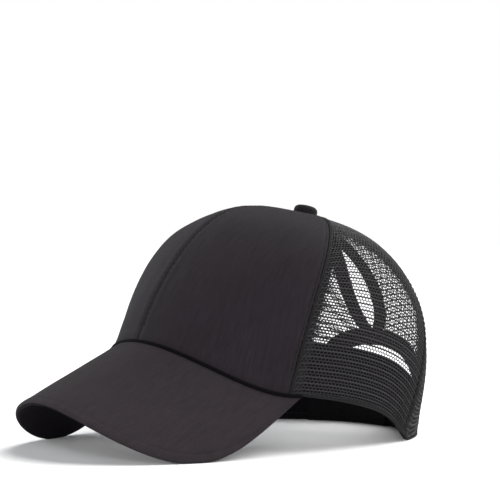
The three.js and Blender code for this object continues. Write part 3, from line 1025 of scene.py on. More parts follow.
FINISHES = (
    ClothFinish("front_cloth", "front_cloth", (0.0148, 0.0115, 0.0151), specular=0.09, sheen=0.03,
                slub_width=0.8, slub_length=10.0, slub_shade=0.36, slub_relief=0.6, relief=0.2),
    ClothFinish("brim_cloth", "brim_cloth", (0.0223, 0.0178, 0.0203), specular=0.08, sheen=0.02,
                slub_width=0.8, slub_length=8.0, relief=0.18),
    ClothFinish("brim_lining", "brim_underside", (0.0092, 0.0072, 0.0110), specular=0.06, sheen=0.0,
                slub_shade=0.15),
    ClothFinish("net_yarn", "net", (0.0187, 0.0172, 0.0190), roughness=0.6, sheen=0.05, thread=0.3, slant=1.0,
                weave_relief=0.7, slub_relief=0.3, slub_shade=0.12, relief=0.1),
    ClothFinish("net_edge_yarn", "net", (0.0105, 0.0098, 0.0108), roughness=0.75, specular=0.12, sheen=0.02,
                thread=0.7, weave_relief=0.9, slub_relief=0.1, relief=0.35),
    ClothFinish("binding_twill", "binding", (0.026, 0.0215, 0.0255), specular=0.12, sheen=0.04, thread=0.5,
                slant=1.0, weave_relief=0.8, slub_relief=0.2, slub_shade=0.15),
    ClothFinish("seam_tape", "tape", (0.010, 0.009, 0.0105), specular=0.1, sheen=0.02, thread=0.55, slant=1.0,
                weave_relief=0.8, slub_relief=0.2),
    ClothFinish("sweatband_cloth", "sweatband", (0.0062, 0.0054, 0.0074), specular=0.1, sheen=0.01, thread=0.6,
                weave_relief=0.8, slub_relief=0.2),
    ClothFinish("strap_webbing", "strap", (0.0062, 0.0058, 0.0072), specular=0.12, sheen=0.02, thread=0.9,
                slant=1.0, weave_relief=0.9, slub_relief=0.1, relief=0.25),
    ClothFinish("button_cloth", "button", (0.0115, 0.0100, 0.0118), specular=0.1, sheen=0.03),
    # Near-black cloth of the brim's seam cord and of the fold under the centre seam: painted shade for the dark lines
    # in the seams' grooves.
    ClothFinish("seam_cord_painted_shade", "brim_cloth", (0.0022, 0.0018, 0.0025), specular=0.05, sheen=0.0),
    ClothFinish("seam_thread", "front_cloth", (0.0045, 0.0038, 0.0046), roughness=0.7, specular=0.1, sheen=0.0,
                thread=0.35, slant=1.0, slub_relief=0.1, relief=0.06),
    ClothFinish("sewing_thread", "front_cloth", (0.0125, 0.0105, 0.0125), roughness=0.6, sheen=0.02,
                thread=0.35, slant=1.0, slub_relief=0.1, relief=0.06),
)


class Wardrobe:
    """Every finish of the cap, built once."""

    def __init__(self) -> None:
        """Builds the materials."""
        effects = Effects()
        self.slots = {finish.name: finish.slot for finish in FINISHES}
        self.materials = {finish.name: finish.build(effects) for finish in FINISHES}

    def dress(self, piece: bpy.types.Object, finish: str, nodes: Sequence[str], slot: str | None) -> None:
        """Gives a piece its material and its place in the frame.

        Args:
            piece: The finished object.
            finish: Name of the finish.
            nodes: CAD nodes that it stands for.
            slot: Material slot, if it isn't the finish's own; not used.
        """
        piece.data.materials.append(self.materials[finish])
        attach(piece, "root")
        if nodes:
            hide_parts(*nodes)
        slot or self.slots[finish]
        log.info("%s: %d corners, stands for %s", piece.name, len(piece.data.vertices), ", ".join(nodes) or "itself")


@dataclass(frozen=True)
class Assembly:
    """A sub-assembly of the cap: the form that it follows, and what makes and dresses its pieces."""

    form: CrownForm
    shop: Workshop
    looks: Wardrobe

    def add(self, name: str, finish: str, mesh: Mesh, *nodes: str, slot: str | None = None) -> None:
        """Makes a piece and dresses it.

        Args:
            name: Name of the piece.
            finish: Name of its finish.
            mesh: Its mesh.
            nodes: CAD nodes that it stands for.
            slot: Material slot, if it isn't the finish's own.
        """
        self.looks.dress(self.shop.make(name, mesh), finish, nodes, slot)

    def strip(self, side: Side, seam: Seam, across: Array, t: Array, outer: Array, inner: Array,
              least: float = 8.0) -> Mesh:
        """A strip of cloth along a seam.

        Args:
            side: Side of the cap.
            seam: The seam that it follows.
            across: Distances behind the seam, a column each.
            t: Heights, a row each.
            outer: Depth of the outer face.
            inner: Depth of the inner face.
            least: Least girth for each radian, which keeps the strip apart at the top.

        Returns:
            The strip's mesh.
        """
        def place(far: Array, up: Array, depth: Array) -> Array:
            """A point beside the seam."""
            return self.form.at(self.form.beside(side, seam, up, far, least), up, depth)

        return sheet(place, across, t, outer, inner)


# Sub-assemblies


def cloth_waver(u: Array, v: Array) -> Array:
    """Slow, shallow unevenness of stiffened cloth, in millimetres, as a sum of slanted sine waves.

    Args:
        u: Millimetres one way over the cloth.
        v: Millimetres the other way.

    Returns:
        The heights.
    """
    total = np.zeros(np.broadcast(u, v).shape)
    for wave, angle, phase, size in WAVES:
        run = u * math.cos(angle) + v * math.sin(angle)
        total = total + size * np.sin(2 * math.pi * run / wave + phase)
    return total


@dataclass(frozen=True)
class FrontPanels(Assembly):
    """The two stiffened cloth panels of the front, with their sunken seams and stitching."""

    thickness: float = 1.6
    gap: float = 0.3
    hole_radius: float = 4.5
    edge_roll: float = 1.2
    allowance: Ridge = Ridge(0.28, 4.2, 2.2)
    pucker: float = 0.07
    pucker_pitch: float = 6.4
    pucker_drift: tuple[float, float] = (1.3, 17)
    pucker_reach: float = 5.0
    calm_seam: float = 12.0
    calm_rim: float = 15.0
    side_offset: float = 40.0
    grid_across: Crowding = (96, 0.9, 2.6)
    grid_up: Crowding = (116, 0.85, 2.2)
    stitch: Stitch = Stitch(radius=0.24)
    stitch_span: Span = (0.03, 0.955, 400)
    stitch_offset: float = 1.9
    stitch_depth: float = 0.03
    fold_half: float = 6.5
    fold_columns: tuple[float, ...] = (0, 0.01, 0.02, 0.06, 0.25, 0.5, 0.75, 0.93, 1)
    fold_span: Span = (0.004, 0.985, 90)
    fold_depths: tuple[float, float] = (0.05, 0.6)
    fold_thinning: float = 0.3
    fold_ridge: Ridge = Ridge(0.9, 0.0, 0.2)

    def spread(self, side: Side, a: Array, b: Array) -> tuple[Array, Array]:
        """phi and t for shares across and up the panel, as the solids have them.

        Args:
            side: Left or right.
            a: Shares across, from 0 to 1.
            b: Shares up, from 0 to 1.

        Returns:
            phi and t.
        """
        form = self.form
        top = float(form.top_t(form.front_seam(1.0), self.hole_radius))
        middle = side.value * float(form.front_seam(0.5)) / 2
        t = np.minimum(form.t_at(middle, b * form.height_at(middle, top)), top)
        edge = self.gap / 2 / np.maximum(form.girth(middle + 0 * t, t), self.hole_radius)
        phi = side.value * lerp(edge, form.front_seam(t) - edge, a)
        return phi, t / top * form.top_t(phi, self.hole_radius)

    def relief(self, side: Side, phi: Array, t: Array) -> tuple[Array, Array]:
        """Depth of the outer face and cloth coordinates.

        Args:
            side: Side of the cap.
            phi: Directions of the grid points.
            t: Heights of the grid points.

        Returns:
            Depth, which sinks at the seams and swells over their allowances, and coordinates in mm.
        """
        form = self.form
        girth, up = form.girth(phi, t), form.height_at(phi, t)
        centre = np.abs(phi) * girth
        outer = np.maximum(form.front_seam(t) - np.abs(phi), 0) * girth
        depth = np.zeros_like(phi)
        for distance in (centre - self.gap / 2, outer - self.gap / 2, up):
            depth += roll_off(np.maximum(distance, 0), self.edge_roll)
            depth -= self.allowance.at(distance)
        swing, period = self.pucker_drift
        ripple = np.sin(2 * math.pi * up / self.pucker_pitch + swing * np.sin(up / period))
        depth -= self.pucker * ripple * (np.exp(-centre / self.pucker_reach) + np.exp(-outer / self.pucker_reach))
        away = soft_step(centre / self.calm_seam) * soft_step(outer / self.calm_seam) * soft_step(up / self.calm_rim)
        depth -= cloth_waver(phi * girth + self.side_offset * side.value, up) * away
        return depth, np.stack([phi * girth, up], -1)

    def build(self) -> None:
        """Builds both panels, the fold under their seam and their stitching."""
        grid = grid_of(graded(*self.grid_across), graded(*self.grid_up))
        for side in Side:
            phi, t = self.spread(side, *grid)
            outer, uv = self.relief(side, phi, t)
            mesh = sheet(self.form.at, phi, t, outer, self.thickness, uv)
            self.add(f"front_panel_{side.word}_cloth", "front_cloth", mesh, f"front_panel_{side.word}")
        self.seam_fold()
        self.stitching()

    def seam_fold(self) -> None:
        """The turned edges of the two panels, pressed flat under the centre seam, with a ridge in the gap; they are
        near black, painted shade that shows as a dark line in the seam's gap.
        """
        half = np.array(self.fold_columns)
        a = np.concatenate([-half[:0:-1], half])
        across = a * self.fold_half
        outer = self.thickness + self.fold_depths[0] - self.fold_ridge.at(across)
        inner = self.thickness + self.fold_depths[1] - self.fold_thinning * a**6
        t = np.linspace(*self.fold_span)
        mesh = self.strip(Side.LEFT, self.form.centre, across, t, outer[:, None], inner[:, None], 9.0)
        self.add("front_seam_fold", "seam_cord_painted_shade", mesh)

    def stitching(self) -> None:
        """Topstitching on both sides of the centre seam and on the front panels' outer edges."""
        form, rows = self.form, []
        t = np.linspace(*self.stitch_span)
        for side in Side:
            for seam, offset in ((form.centre, self.stitch_offset), (form.front_seam, -self.stitch_offset)):
                phi = form.beside(side, seam, t, offset, STITCH_GIRTH)
                rows.append(self.stitch.row(form.at, phi, t, self.stitch_depth))
        self.add("front_panel_stitching", "seam_thread", join(rows), slot="front_cloth")


@dataclass(frozen=True)
class NetCloth:
    """Knitted net: rows of oval holes, a heavier bar after every second row."""

    pitch: float = 2.3
    row: float = 1.875
    bar: float = 0.86
    strand: float = 0.38
    half_thickness: float = 0.2
    bar_half_thickness: float = 0.38
    squareness: float = 3.0
    half_width: float = 62.0
    height: float = 172.0
    ring_x: tuple[int, ...] = (0, 1, 2, 3, 4, 4, 4, 3, 2, 1, 0, 0)
    ring_y: tuple[int, ...] = (0, 0, 0, 0, 0, 1, 2, 2, 2, 2, 2, 1)

    def mesh(self, place: Place, keep: Callable[[Array, Array], Array]) -> Mesh:
        """Knits the net.

        A cell is a ring of twelve corners round a hole of twelve corners. The hole is a superellipse
        at half depth, and the ring is raised on both faces, so each strand is rounded.

        Args:
            place: Gives points for sideways, up and depth from the net's middle.
            keep: Tells which cell centres belong to the panel.

        Returns:
            The net's mesh.
        """
        columns = int(self.half_width / self.pitch) + 2
        rows = int(self.height / self.row) + 1
        i, j = (n.ravel() for n in np.meshgrid(np.arange(-columns, columns), np.arange(rows), indexing="ij"))
        kept = keep((i + 0.5 * (j % 2) + 0.5) * self.pitch, (j + 0.5) * self.row)
        i, j = i[kept], j[kept]
        kx, ky = np.array(self.ring_x), np.array(self.ring_y)
        gx = 4 * i[:, None] + 2 * (j % 2)[:, None] + kx
        gy = 2 * j[:, None] + ky
        keys, index = np.unique(np.stack([gx.ravel(), gy.ravel()], -1), axis=0, return_inverse=True)
        ring, count = index.reshape(gx.shape), len(keys)
        rx, ry = keys[:, 0] * self.pitch / 4, keys[:, 1] * self.row / 2
        rise = np.where(keys[:, 1] % 4 == 0, self.bar_half_thickness, self.half_thickness)
        theta = np.arctan2(ky - 1.0, kx / 2 - 1.0)
        c, s = np.cos(theta), np.sin(theta)
        r = (np.abs(c) ** self.squareness + np.abs(s) ** self.squareness) ** (-1 / self.squareness)
        below = np.where(j % 2 == 0, self.bar, self.strand) / 2
        above = np.where(j % 2 == 0, self.strand, self.bar) / 2
        half_y = (self.row - below - above) / 2
        hx = (i + 0.5 * (j % 2) + 0.5)[:, None] * self.pitch + r * c * (self.pitch - self.strand) / 2
        hy = (j * self.row + below + half_y)[:, None] + r * s * half_y[:, None]
        x = np.concatenate([rx, rx, hx.ravel()])
        y = np.concatenate([ry, ry, hy.ravel()])
        z = np.concatenate([-rise, rise, 0 * hx.ravel()])
        hole = 2 * count + np.arange(hx.size).reshape(hx.shape)
        after, hole_after = np.roll(ring, -1, axis=1), np.roll(hole, -1, axis=1)
        front = np.stack([ring, after, hole_after, hole], -1).reshape(-1, 4)
        back = np.stack([ring + count, hole, hole_after, after + count], -1).reshape(-1, 4)
        edges = np.stack([ring.ravel(), after.ravel()], -1)
        _, first, times = np.unique(np.sort(edges, axis=1), axis=0, return_index=True, return_counts=True)
        rim = edges[first[times == 1]]
        walls = np.stack([rim[:, 1], rim[:, 0], rim[:, 0] + count, rim[:, 1] + count], -1)
        return place(x, y, z), np.concatenate([front, back, walls]), np.stack([x, y], -1)


@dataclass(frozen=True)
class NetPanels(Assembly):
    """The four net panels at the sides and back, with their sewn edges and hems."""

    arch: "RearOpening"
    cloth: NetCloth = NetCloth()
    depth: float = 0.6
    side_middle: float = 92.5 * DEGREE
    rear_middle: float = 150 * DEGREE
    edge_width: float = 2.0
    edge_lap: float = 0.65
    edge_outer: float = 0.05
    edge_inner: float = 1.2
    edge_bulge: float = 0.25
    edge_columns: int = 7
    edge_rows: int = 150
    rib: float = 0.09
    rib_rows: int = 3
    hem_height: float = 1.3
    hem_foot: float = -0.3
    hem_bulge: float = 0.3
    hem_proud: float = 0.1
    hem_gap: float = 0.002
    droop: float = 1.1
    most_closing: float = 0.03
    doubled_depth: float = 1.45
    doubled_shift: tuple[float, float] = (0.4, 0.45)
    allowance_half: float = 2.6
    allowance_depth: float = 1.88
    allowance_thickness: float = 0.18
    allowance_foot: float = 0.004
    rear_turn: float = 13.0
    front_turn: float = 8.0
    top_radius: float = 5.8
    hole_radius: float = 4.5
    seam_gap: float = 0.15
    stitch_offsets: tuple[float, float, float] = (1.6, 1.5, -1.5)
    stitch_proud: float = 0.1
    hem_stitch_proud: float = 0.25
    hem_stitch_start: float = 0.01
    hem_stitch_share: float = 0.6
    hem_stitch_points: int = 500
    stitch: Stitch = Stitch(length=2.2, gap=0.8, radius=0.2)
    stitch_span: Span = (0.02, 0.95, 400)
    lattice_reach: float = 175.0
    lattice_step: float = 1.0
    lattice_top: float = 0.985
    plain_rows: int = 90
    plain_columns: int = 5
    upper_rows: int = 40
    tip_lap: float = 3.0
    hem_grid: tuple[int, int] = (120, 9)

    def lattice(self, side: Side, middle: float) -> Callable[[Array, Array], tuple[Array, Array]]:
        """phi and t for places on the flat net.

        Rows are straight on the flat cloth, so on the dome they fall away from the panel's middle by
        x^2 / 2 times the closing rate of the girth.

        Args:
            side: Side of the cap.
            middle: Direction of the panel's middle.

        Returns:
            A function of sideways and up.
        """
        form = self.form
        heights = np.arange(0, self.lattice_reach, self.lattice_step)
        levels = form.t_at(middle, heights)
        girths = form.girth(middle + 0 * levels, np.minimum(levels, self.lattice_top))
        closing = np.maximum(-np.gradient(girths, heights) / girths, 0)

        def where(x: Array, y: Array) -> tuple[Array, Array]:
            """Direction and t of the net's flat places, closed in towards the top.

            Args:
                x: Millimetres from the panel's middle.
                y: Millimetres up.

            Returns:
                phi and t.
            """
            rate = np.minimum(np.interp(y, heights, closing), self.most_closing)
            low = y - self.droop * rate * x * x / 2
            t = form.t_at(middle, np.maximum(low, 0))
            return side.value * (middle + side.value * x / np.interp(low, heights, girths)), t

        return where

    def panel(self, side: Side, seams: tuple[Seam, Seam], middle: float, turns: tuple[float, float],
              opened: bool) -> tuple[Mesh, Mesh]:
        """Net of one panel, and the second layer where it is turned under beside its seams.

        Args:
            side: Side of the cap.
            seams: The panel's front seam and rear seam.
            middle: Direction of its middle.
            turns: How far it is turned under at each of these seams.
            opened: True for a panel that the openings are cut from.

        Returns:
            Meshes of the panel and of its turned edges.
        """
        form, where = self.form, self.lattice(side, middle)

        def knit(across: float, up: float, depth: float, doubled: bool) -> Mesh:
            """Knits one layer of the panel.

            Args:
                across: Shift of the cells sideways.
                up: Shift of the cells upward.
                depth: Depth under the crown's face.
                doubled: Whether it is the turned layer along the seams.

            Returns:
                The layer's mesh.
            """

            def keep(x: Array, y: Array) -> Array:
                """Cells that lie inside the panel.

                Args:
                    x: Millimetres from the panel's middle.
                    y: Millimetres up.

                Returns:
                    A mask of the cells.
                """
                phi, t = where(x + across, y + up)
                turn, girth = np.abs(phi), form.girth(phi, t)
                ahead, behind = (turn - seams[0](t)) * girth, (seams[1](t) - turn) * girth
                inside = np.minimum(ahead, behind) > self.seam_gap + self.edge_lap
                inside &= np.hypot(*form.plan(phi)) * form.reach(phi, t) > self.top_radius
                inside &= form.height_at(phi, t) > self.hem_height / 2
                if opened:
                    inside &= ~self.arch.covers(phi, t)
                return inside & ((ahead < turns[0]) | (behind < turns[1])) if doubled else inside

            def place(x: Array, y: Array, z: Array) -> Array:
                """A point of the yarn."""
                return form.at(*where(x + across, y + up), depth + z)

            return self.cloth.mesh(place, keep)

        shift_x, shift_y = self.doubled_shift
        turned = knit(shift_x * self.cloth.pitch, shift_y * self.cloth.row, self.doubled_depth, True)
        return knit(0, 0, self.depth, False), turned

    def edge(self, side: Side, seam: Seam, direction: int) -> Mesh:
        """The net's turned edge beside a seam, a ribbed strip.

        Args:
            side: Left or right.
            seam: The seam's direction for each t.
            direction: 1 behind the seam, -1 ahead of it.

        Returns:
            The strip.
        """
        form = self.form
        top = float(form.top_t(seam(1.0), self.hole_radius))
        middle = float(seam(0.5))
        share = np.linspace(0, 1, self.edge_rows)
        levels = np.clip(form.t_at(middle, form.height_at(middle, top) * share), 0, top)
        a = np.linspace(0, 1, self.edge_columns)
        bulge = self.edge_bulge * (2 * a - 1) ** 2
        rib = self.rib * np.sin(2 * math.pi * np.arange(self.edge_rows) / self.rib_rows)
        across = direction * lerp(self.seam_gap, self.edge_width, a)
        outer = self.edge_outer + bulge[:, None] + rib
        return self.strip(side, seam, across, levels, outer, self.edge_inner)

    def plain(self, side: Side) -> list[Mesh]:
        """The strips without ribs: the pressed seam allowances, and the edges above the ponytail slit.

        Args:
            side: Left or right.

        Returns:
            The strips.
        """
        form, half = self.form, self.allowance_half
        strips = []
        for seam in (form.front_seam, form.rear_seam):
            t = np.linspace(self.allowance_foot, float(form.top_t(seam(1.0), self.hole_radius)), self.plain_rows)
            inner = self.allowance_depth + self.allowance_thickness
            across = np.linspace(-half, half, self.plain_columns)
            strips.append(self.strip(side, seam, across, t, self.allowance_depth, inner))
        foot, top = form.t_at(math.pi, self.arch.tip - self.tip_lap), form.top_t(math.pi, self.hole_radius)
        t = np.linspace(foot, top, self.upper_rows)
        across = -np.linspace(self.seam_gap, self.edge_width, self.plain_columns)
        return [*strips, self.strip(side, form.centre_back, across, t, self.edge_outer, self.edge_inner)]

    def hem(self, side: Side, start: float, end: float) -> Mesh:
        """The net's turned hem along the rim between two directions.

        Args:
            side: Left or right.
            start: Direction where it starts, from the centre front.
            end: Direction where it ends.

        Returns:
            The strip.
        """
        form = self.form

        def place(phi: Array, up: Array, depth: Array) -> Array:
            """A point of the hem."""
            return form.at(side.value * phi, form.t_at(side.value * phi, up), depth)

        columns, rows = self.hem_grid
        up = np.linspace(self.hem_foot, self.hem_height, rows)
        share = (up - self.hem_foot) / (self.hem_height - self.hem_foot)
        outer = self.edge_outer - self.hem_proud + self.hem_bulge * (2 * share - 1) ** 4
        return sheet(place, np.linspace(start, end, columns), up, outer[None, :], self.edge_inner)

    def build(self) -> None:
        """Builds the four panels, their edges and their stitching."""
        form = self.form
        arch_end = math.pi - (self.arch.half_width + self.arch.width / 2) / float(form.girth(math.pi, 0.0))
        for side in Side:
            turned = []
            for name, seams, middle, turns in (
                ("side_net", (form.front_seam, form.rear_seam), self.side_middle, (self.front_turn, self.rear_turn)),
                ("rear_net", (form.rear_seam, form.centre_back), self.rear_middle, (self.rear_turn, 0.0)),
            ):
                net, doubled = self.panel(side, seams, middle, turns, name == "rear_net")
                self.add(f"{name}_{side.word}_yarn", "net_yarn", net, f"{name}_{side.word}")
                turned.append(doubled)
            self.add(f"net_turned_edges_{side.word}", "net_yarn", join(turned))
            strips = [self.edge(side, seam, direction) for seam, direction in (
                (form.front_seam, 1), (form.rear_seam, -1), (form.rear_seam, 1))]
            corner = form.rear_seam_angle
            for start, end in ((form.front_seam_rim, corner - self.hem_gap), (corner, arch_end)):
                strips.append(self.hem(side, start + self.hem_gap, end))
            self.add(f"net_seam_edges_{side.word}", "net_edge_yarn", join(strips + self.plain(side)))
        self.stitching(arch_end)

    def stitching(self, arch_end: float) -> None:
        """Two rows beside each net seam and one above the hem.

        Args:
            arch_end: The direction where the hem meets the arch.
        """
        form, stitch, rows = self.form, self.stitch, []
        t = np.linspace(*self.stitch_span)
        start = form.front_seam_rim + self.hem_stitch_start
        for side in Side:
            for seam, offset in zip((form.front_seam, form.rear_seam, form.rear_seam), self.stitch_offsets):
                phi = form.beside(side, seam, t, offset, STITCH_GIRTH)
                rows.append(stitch.row(form.at, phi, t, self.edge_outer - self.stitch_proud))
            phi = side.value * np.linspace(start, arch_end, self.hem_stitch_points)
            level = form.t_at(phi, self.hem_stitch_share * self.hem_height)
            rows.append(stitch.row(form.at, phi, level, self.edge_outer - self.hem_stitch_proud))
        self.add("net_stitching", "sewing_thread", join(rows), slot="net")


@dataclass(frozen=True)
class RearOpening(Assembly):
    """The arch and the ponytail slit at the back, with their bindings."""

    half_width: float = 43.5
    arch_top: float = 51.0
    arch_power: float = 2.3
    slit_length: float = 60.0
    slit_half: float = 7.8
    slit_power: float = 0.75
    width: float = 10.4
    thickness: float = 2.0
    proud: float = 0.4
    tip_length: float = 16.5
    tip_width: float = 4.0
    gap: float = 0.3
    hidden: float = 3.0
    hidden_tip: float = 1.0
    edge_roll: float = 0.8
    inner_roll: float = 0.4
    groove: Ridge = Ridge(0.16, 2.0, 0.5)
    belly: float = 0.12
    ripple: float = 0.05
    grid_across: Crowding = (22, 0.8, 2.2)
    arch_rows: tuple[int, int] = (260, 240)  # rows, and radians of ripple along them
    slit_rows: tuple[int, int] = (150, 130)
    stitch: Stitch = Stitch(length=2.3, gap=0.7, radius=0.2)
    stitch_span: Span = (0.012, 0.988, 500)

    @property
    def foot(self) -> float:
        """Height of the slit's foot, on the arch's binding."""
        return self.arch_top + self.width + self.gap

    @property
    def tip(self) -> float:
        """Height of the tip of the slit's binding."""
        return self.foot + self.slit_length + self.tip_length

    def slit_at(self, share: Array) -> Array:
        """Half the width of the slit: w sin(pi s^p), blunt at the foot and sharp at the top."""
        return self.slit_half * np.sin(math.pi * np.clip(share, 0, 1) ** self.slit_power)

    def binding_edge(self, height: Array) -> Array:
        """Outer edge of the slit's binding, which narrows to its tip above the slit."""
        past = np.clip((height - self.foot - self.slit_length) / self.tip_length, 0, 1)
        return self.slit_at((height - self.foot) / self.slit_length) + lerp(self.width, self.tip_width, past)

    def arch_at(self, sideways: Array, margin: float) -> Array:
        """Height of the arch's outline, a superellipse widened by a margin."""
        share = np.minimum(np.abs(sideways) / (self.half_width + margin), 1)
        return (self.arch_top + margin) * (1 - share**self.arch_power) ** (1 / self.arch_power)

    def covers(self, phi: Array, t: Array) -> Array:
        """Where the openings or their bindings hide the net.

        Args:
            phi: Directions of the net's cells.
            t: Their heights.

        Returns:
            A mask, three millimetres smaller than the bindings' outline.
        """
        form = self.form
        away = math.pi - np.abs(np.arctan2(np.sin(phi), np.cos(phi)))
        sideways = away * form.girth(math.pi + 0 * t, t)
        height = form.height_at(math.pi, t)
        arch = height < self.arch_at(sideways, self.width - self.hidden)
        slit = (height > self.foot - self.width) & (height < self.tip - self.hidden_tip)
        return arch | (slit & (sideways < self.binding_edge(height) - self.hidden))

    def profile(self, across: Array) -> Array:
        """Depth of a binding's outer face across its width, with rolled edges and a sewn groove.

        Args:
            across: Shares across, 0 at the opening.

        Returns:
            The depths.
        """
        from_edge = np.minimum(across, 1 - across) * self.width
        groove = self.groove.at((1 - across) * self.width)
        return -self.proud + roll_off(from_edge, self.edge_roll) + groove - self.belly * np.sin(math.pi * across)

    def arch_place(self, a: Array, b: Array, depth: Array) -> Array:
        """A point on the arch's binding: a across from the opening, b round from left to right.

        Args:
            a: Shares across.
            b: Shares round.
            depth: Depths under the outer face.

        Returns:
            The points.
        """
        turn, power = b * math.pi, 2 / self.arch_power
        margin = a * self.width
        sideways = (self.half_width + margin) * np.abs(np.cos(turn)) ** power * np.sign(np.cos(turn))
        height = (self.arch_top + margin) * np.maximum(np.sin(turn), 0) ** power
        return self.form.rear(sideways, height, depth)

    def slit_place(self, side: Side) -> Place:
        """Points on one of the slit's bindings: a across from the slit, b up from its foot.

        Level with the slit's foot the cloth follows the outline of the arch's binding.

        Args:
            side: Left or right.

        Returns:
            The place function of that binding.
        """

        def place(a: Array, b: Array, depth: Array) -> Array:
            """A point on the binding.

            Args:
                a: Shares across, from 0 to 1.
                b: Shares up, from 0 to 1.
                depth: Depths under the outer face.

            Returns:
                The points.
            """
            along = lerp(self.foot, self.tip, b)
            inner = np.maximum(self.slit_at((along - self.foot) / self.slit_length), self.gap / 2)
            sideways = side.value * lerp(inner, self.binding_edge(along), a)
            left = (self.tip - along) / (self.tip - self.foot)
            foot = self.arch_at(sideways, self.width) + self.gap
            return self.form.rear(sideways, along + (foot - self.foot) * left, depth)

        return place

    def build(self) -> None:
        """Builds the three bindings, with a row of stitches in the groove near each outer edge."""
        across = graded(*self.grid_across)
        back = self.thickness - self.proud - roll_off(np.minimum(across, 1 - across) * self.width, self.inner_roll)
        rows, stitched = [], np.linspace(*self.stitch_span)
        for name, place, (count, ripples) in (
            ("arch_binding", self.arch_place, self.arch_rows),
            *((f"slit_binding_{side.word}", self.slit_place(side), self.slit_rows) for side in Side),
        ):
            along = np.linspace(0, 1, count)
            outer = self.profile(across)[:, None] + self.ripple * np.sin(along * ripples)
            self.add(f"{name}_cloth", "binding_twill", sheet(place, across, along, outer, back[:, None]), name)
            rows.append(self.stitch.row(place, 1 - self.groove.place / self.width, stitched, -self.proud))
        self.add("binding_stitching", "sewing_thread", join(rows), slot="binding")


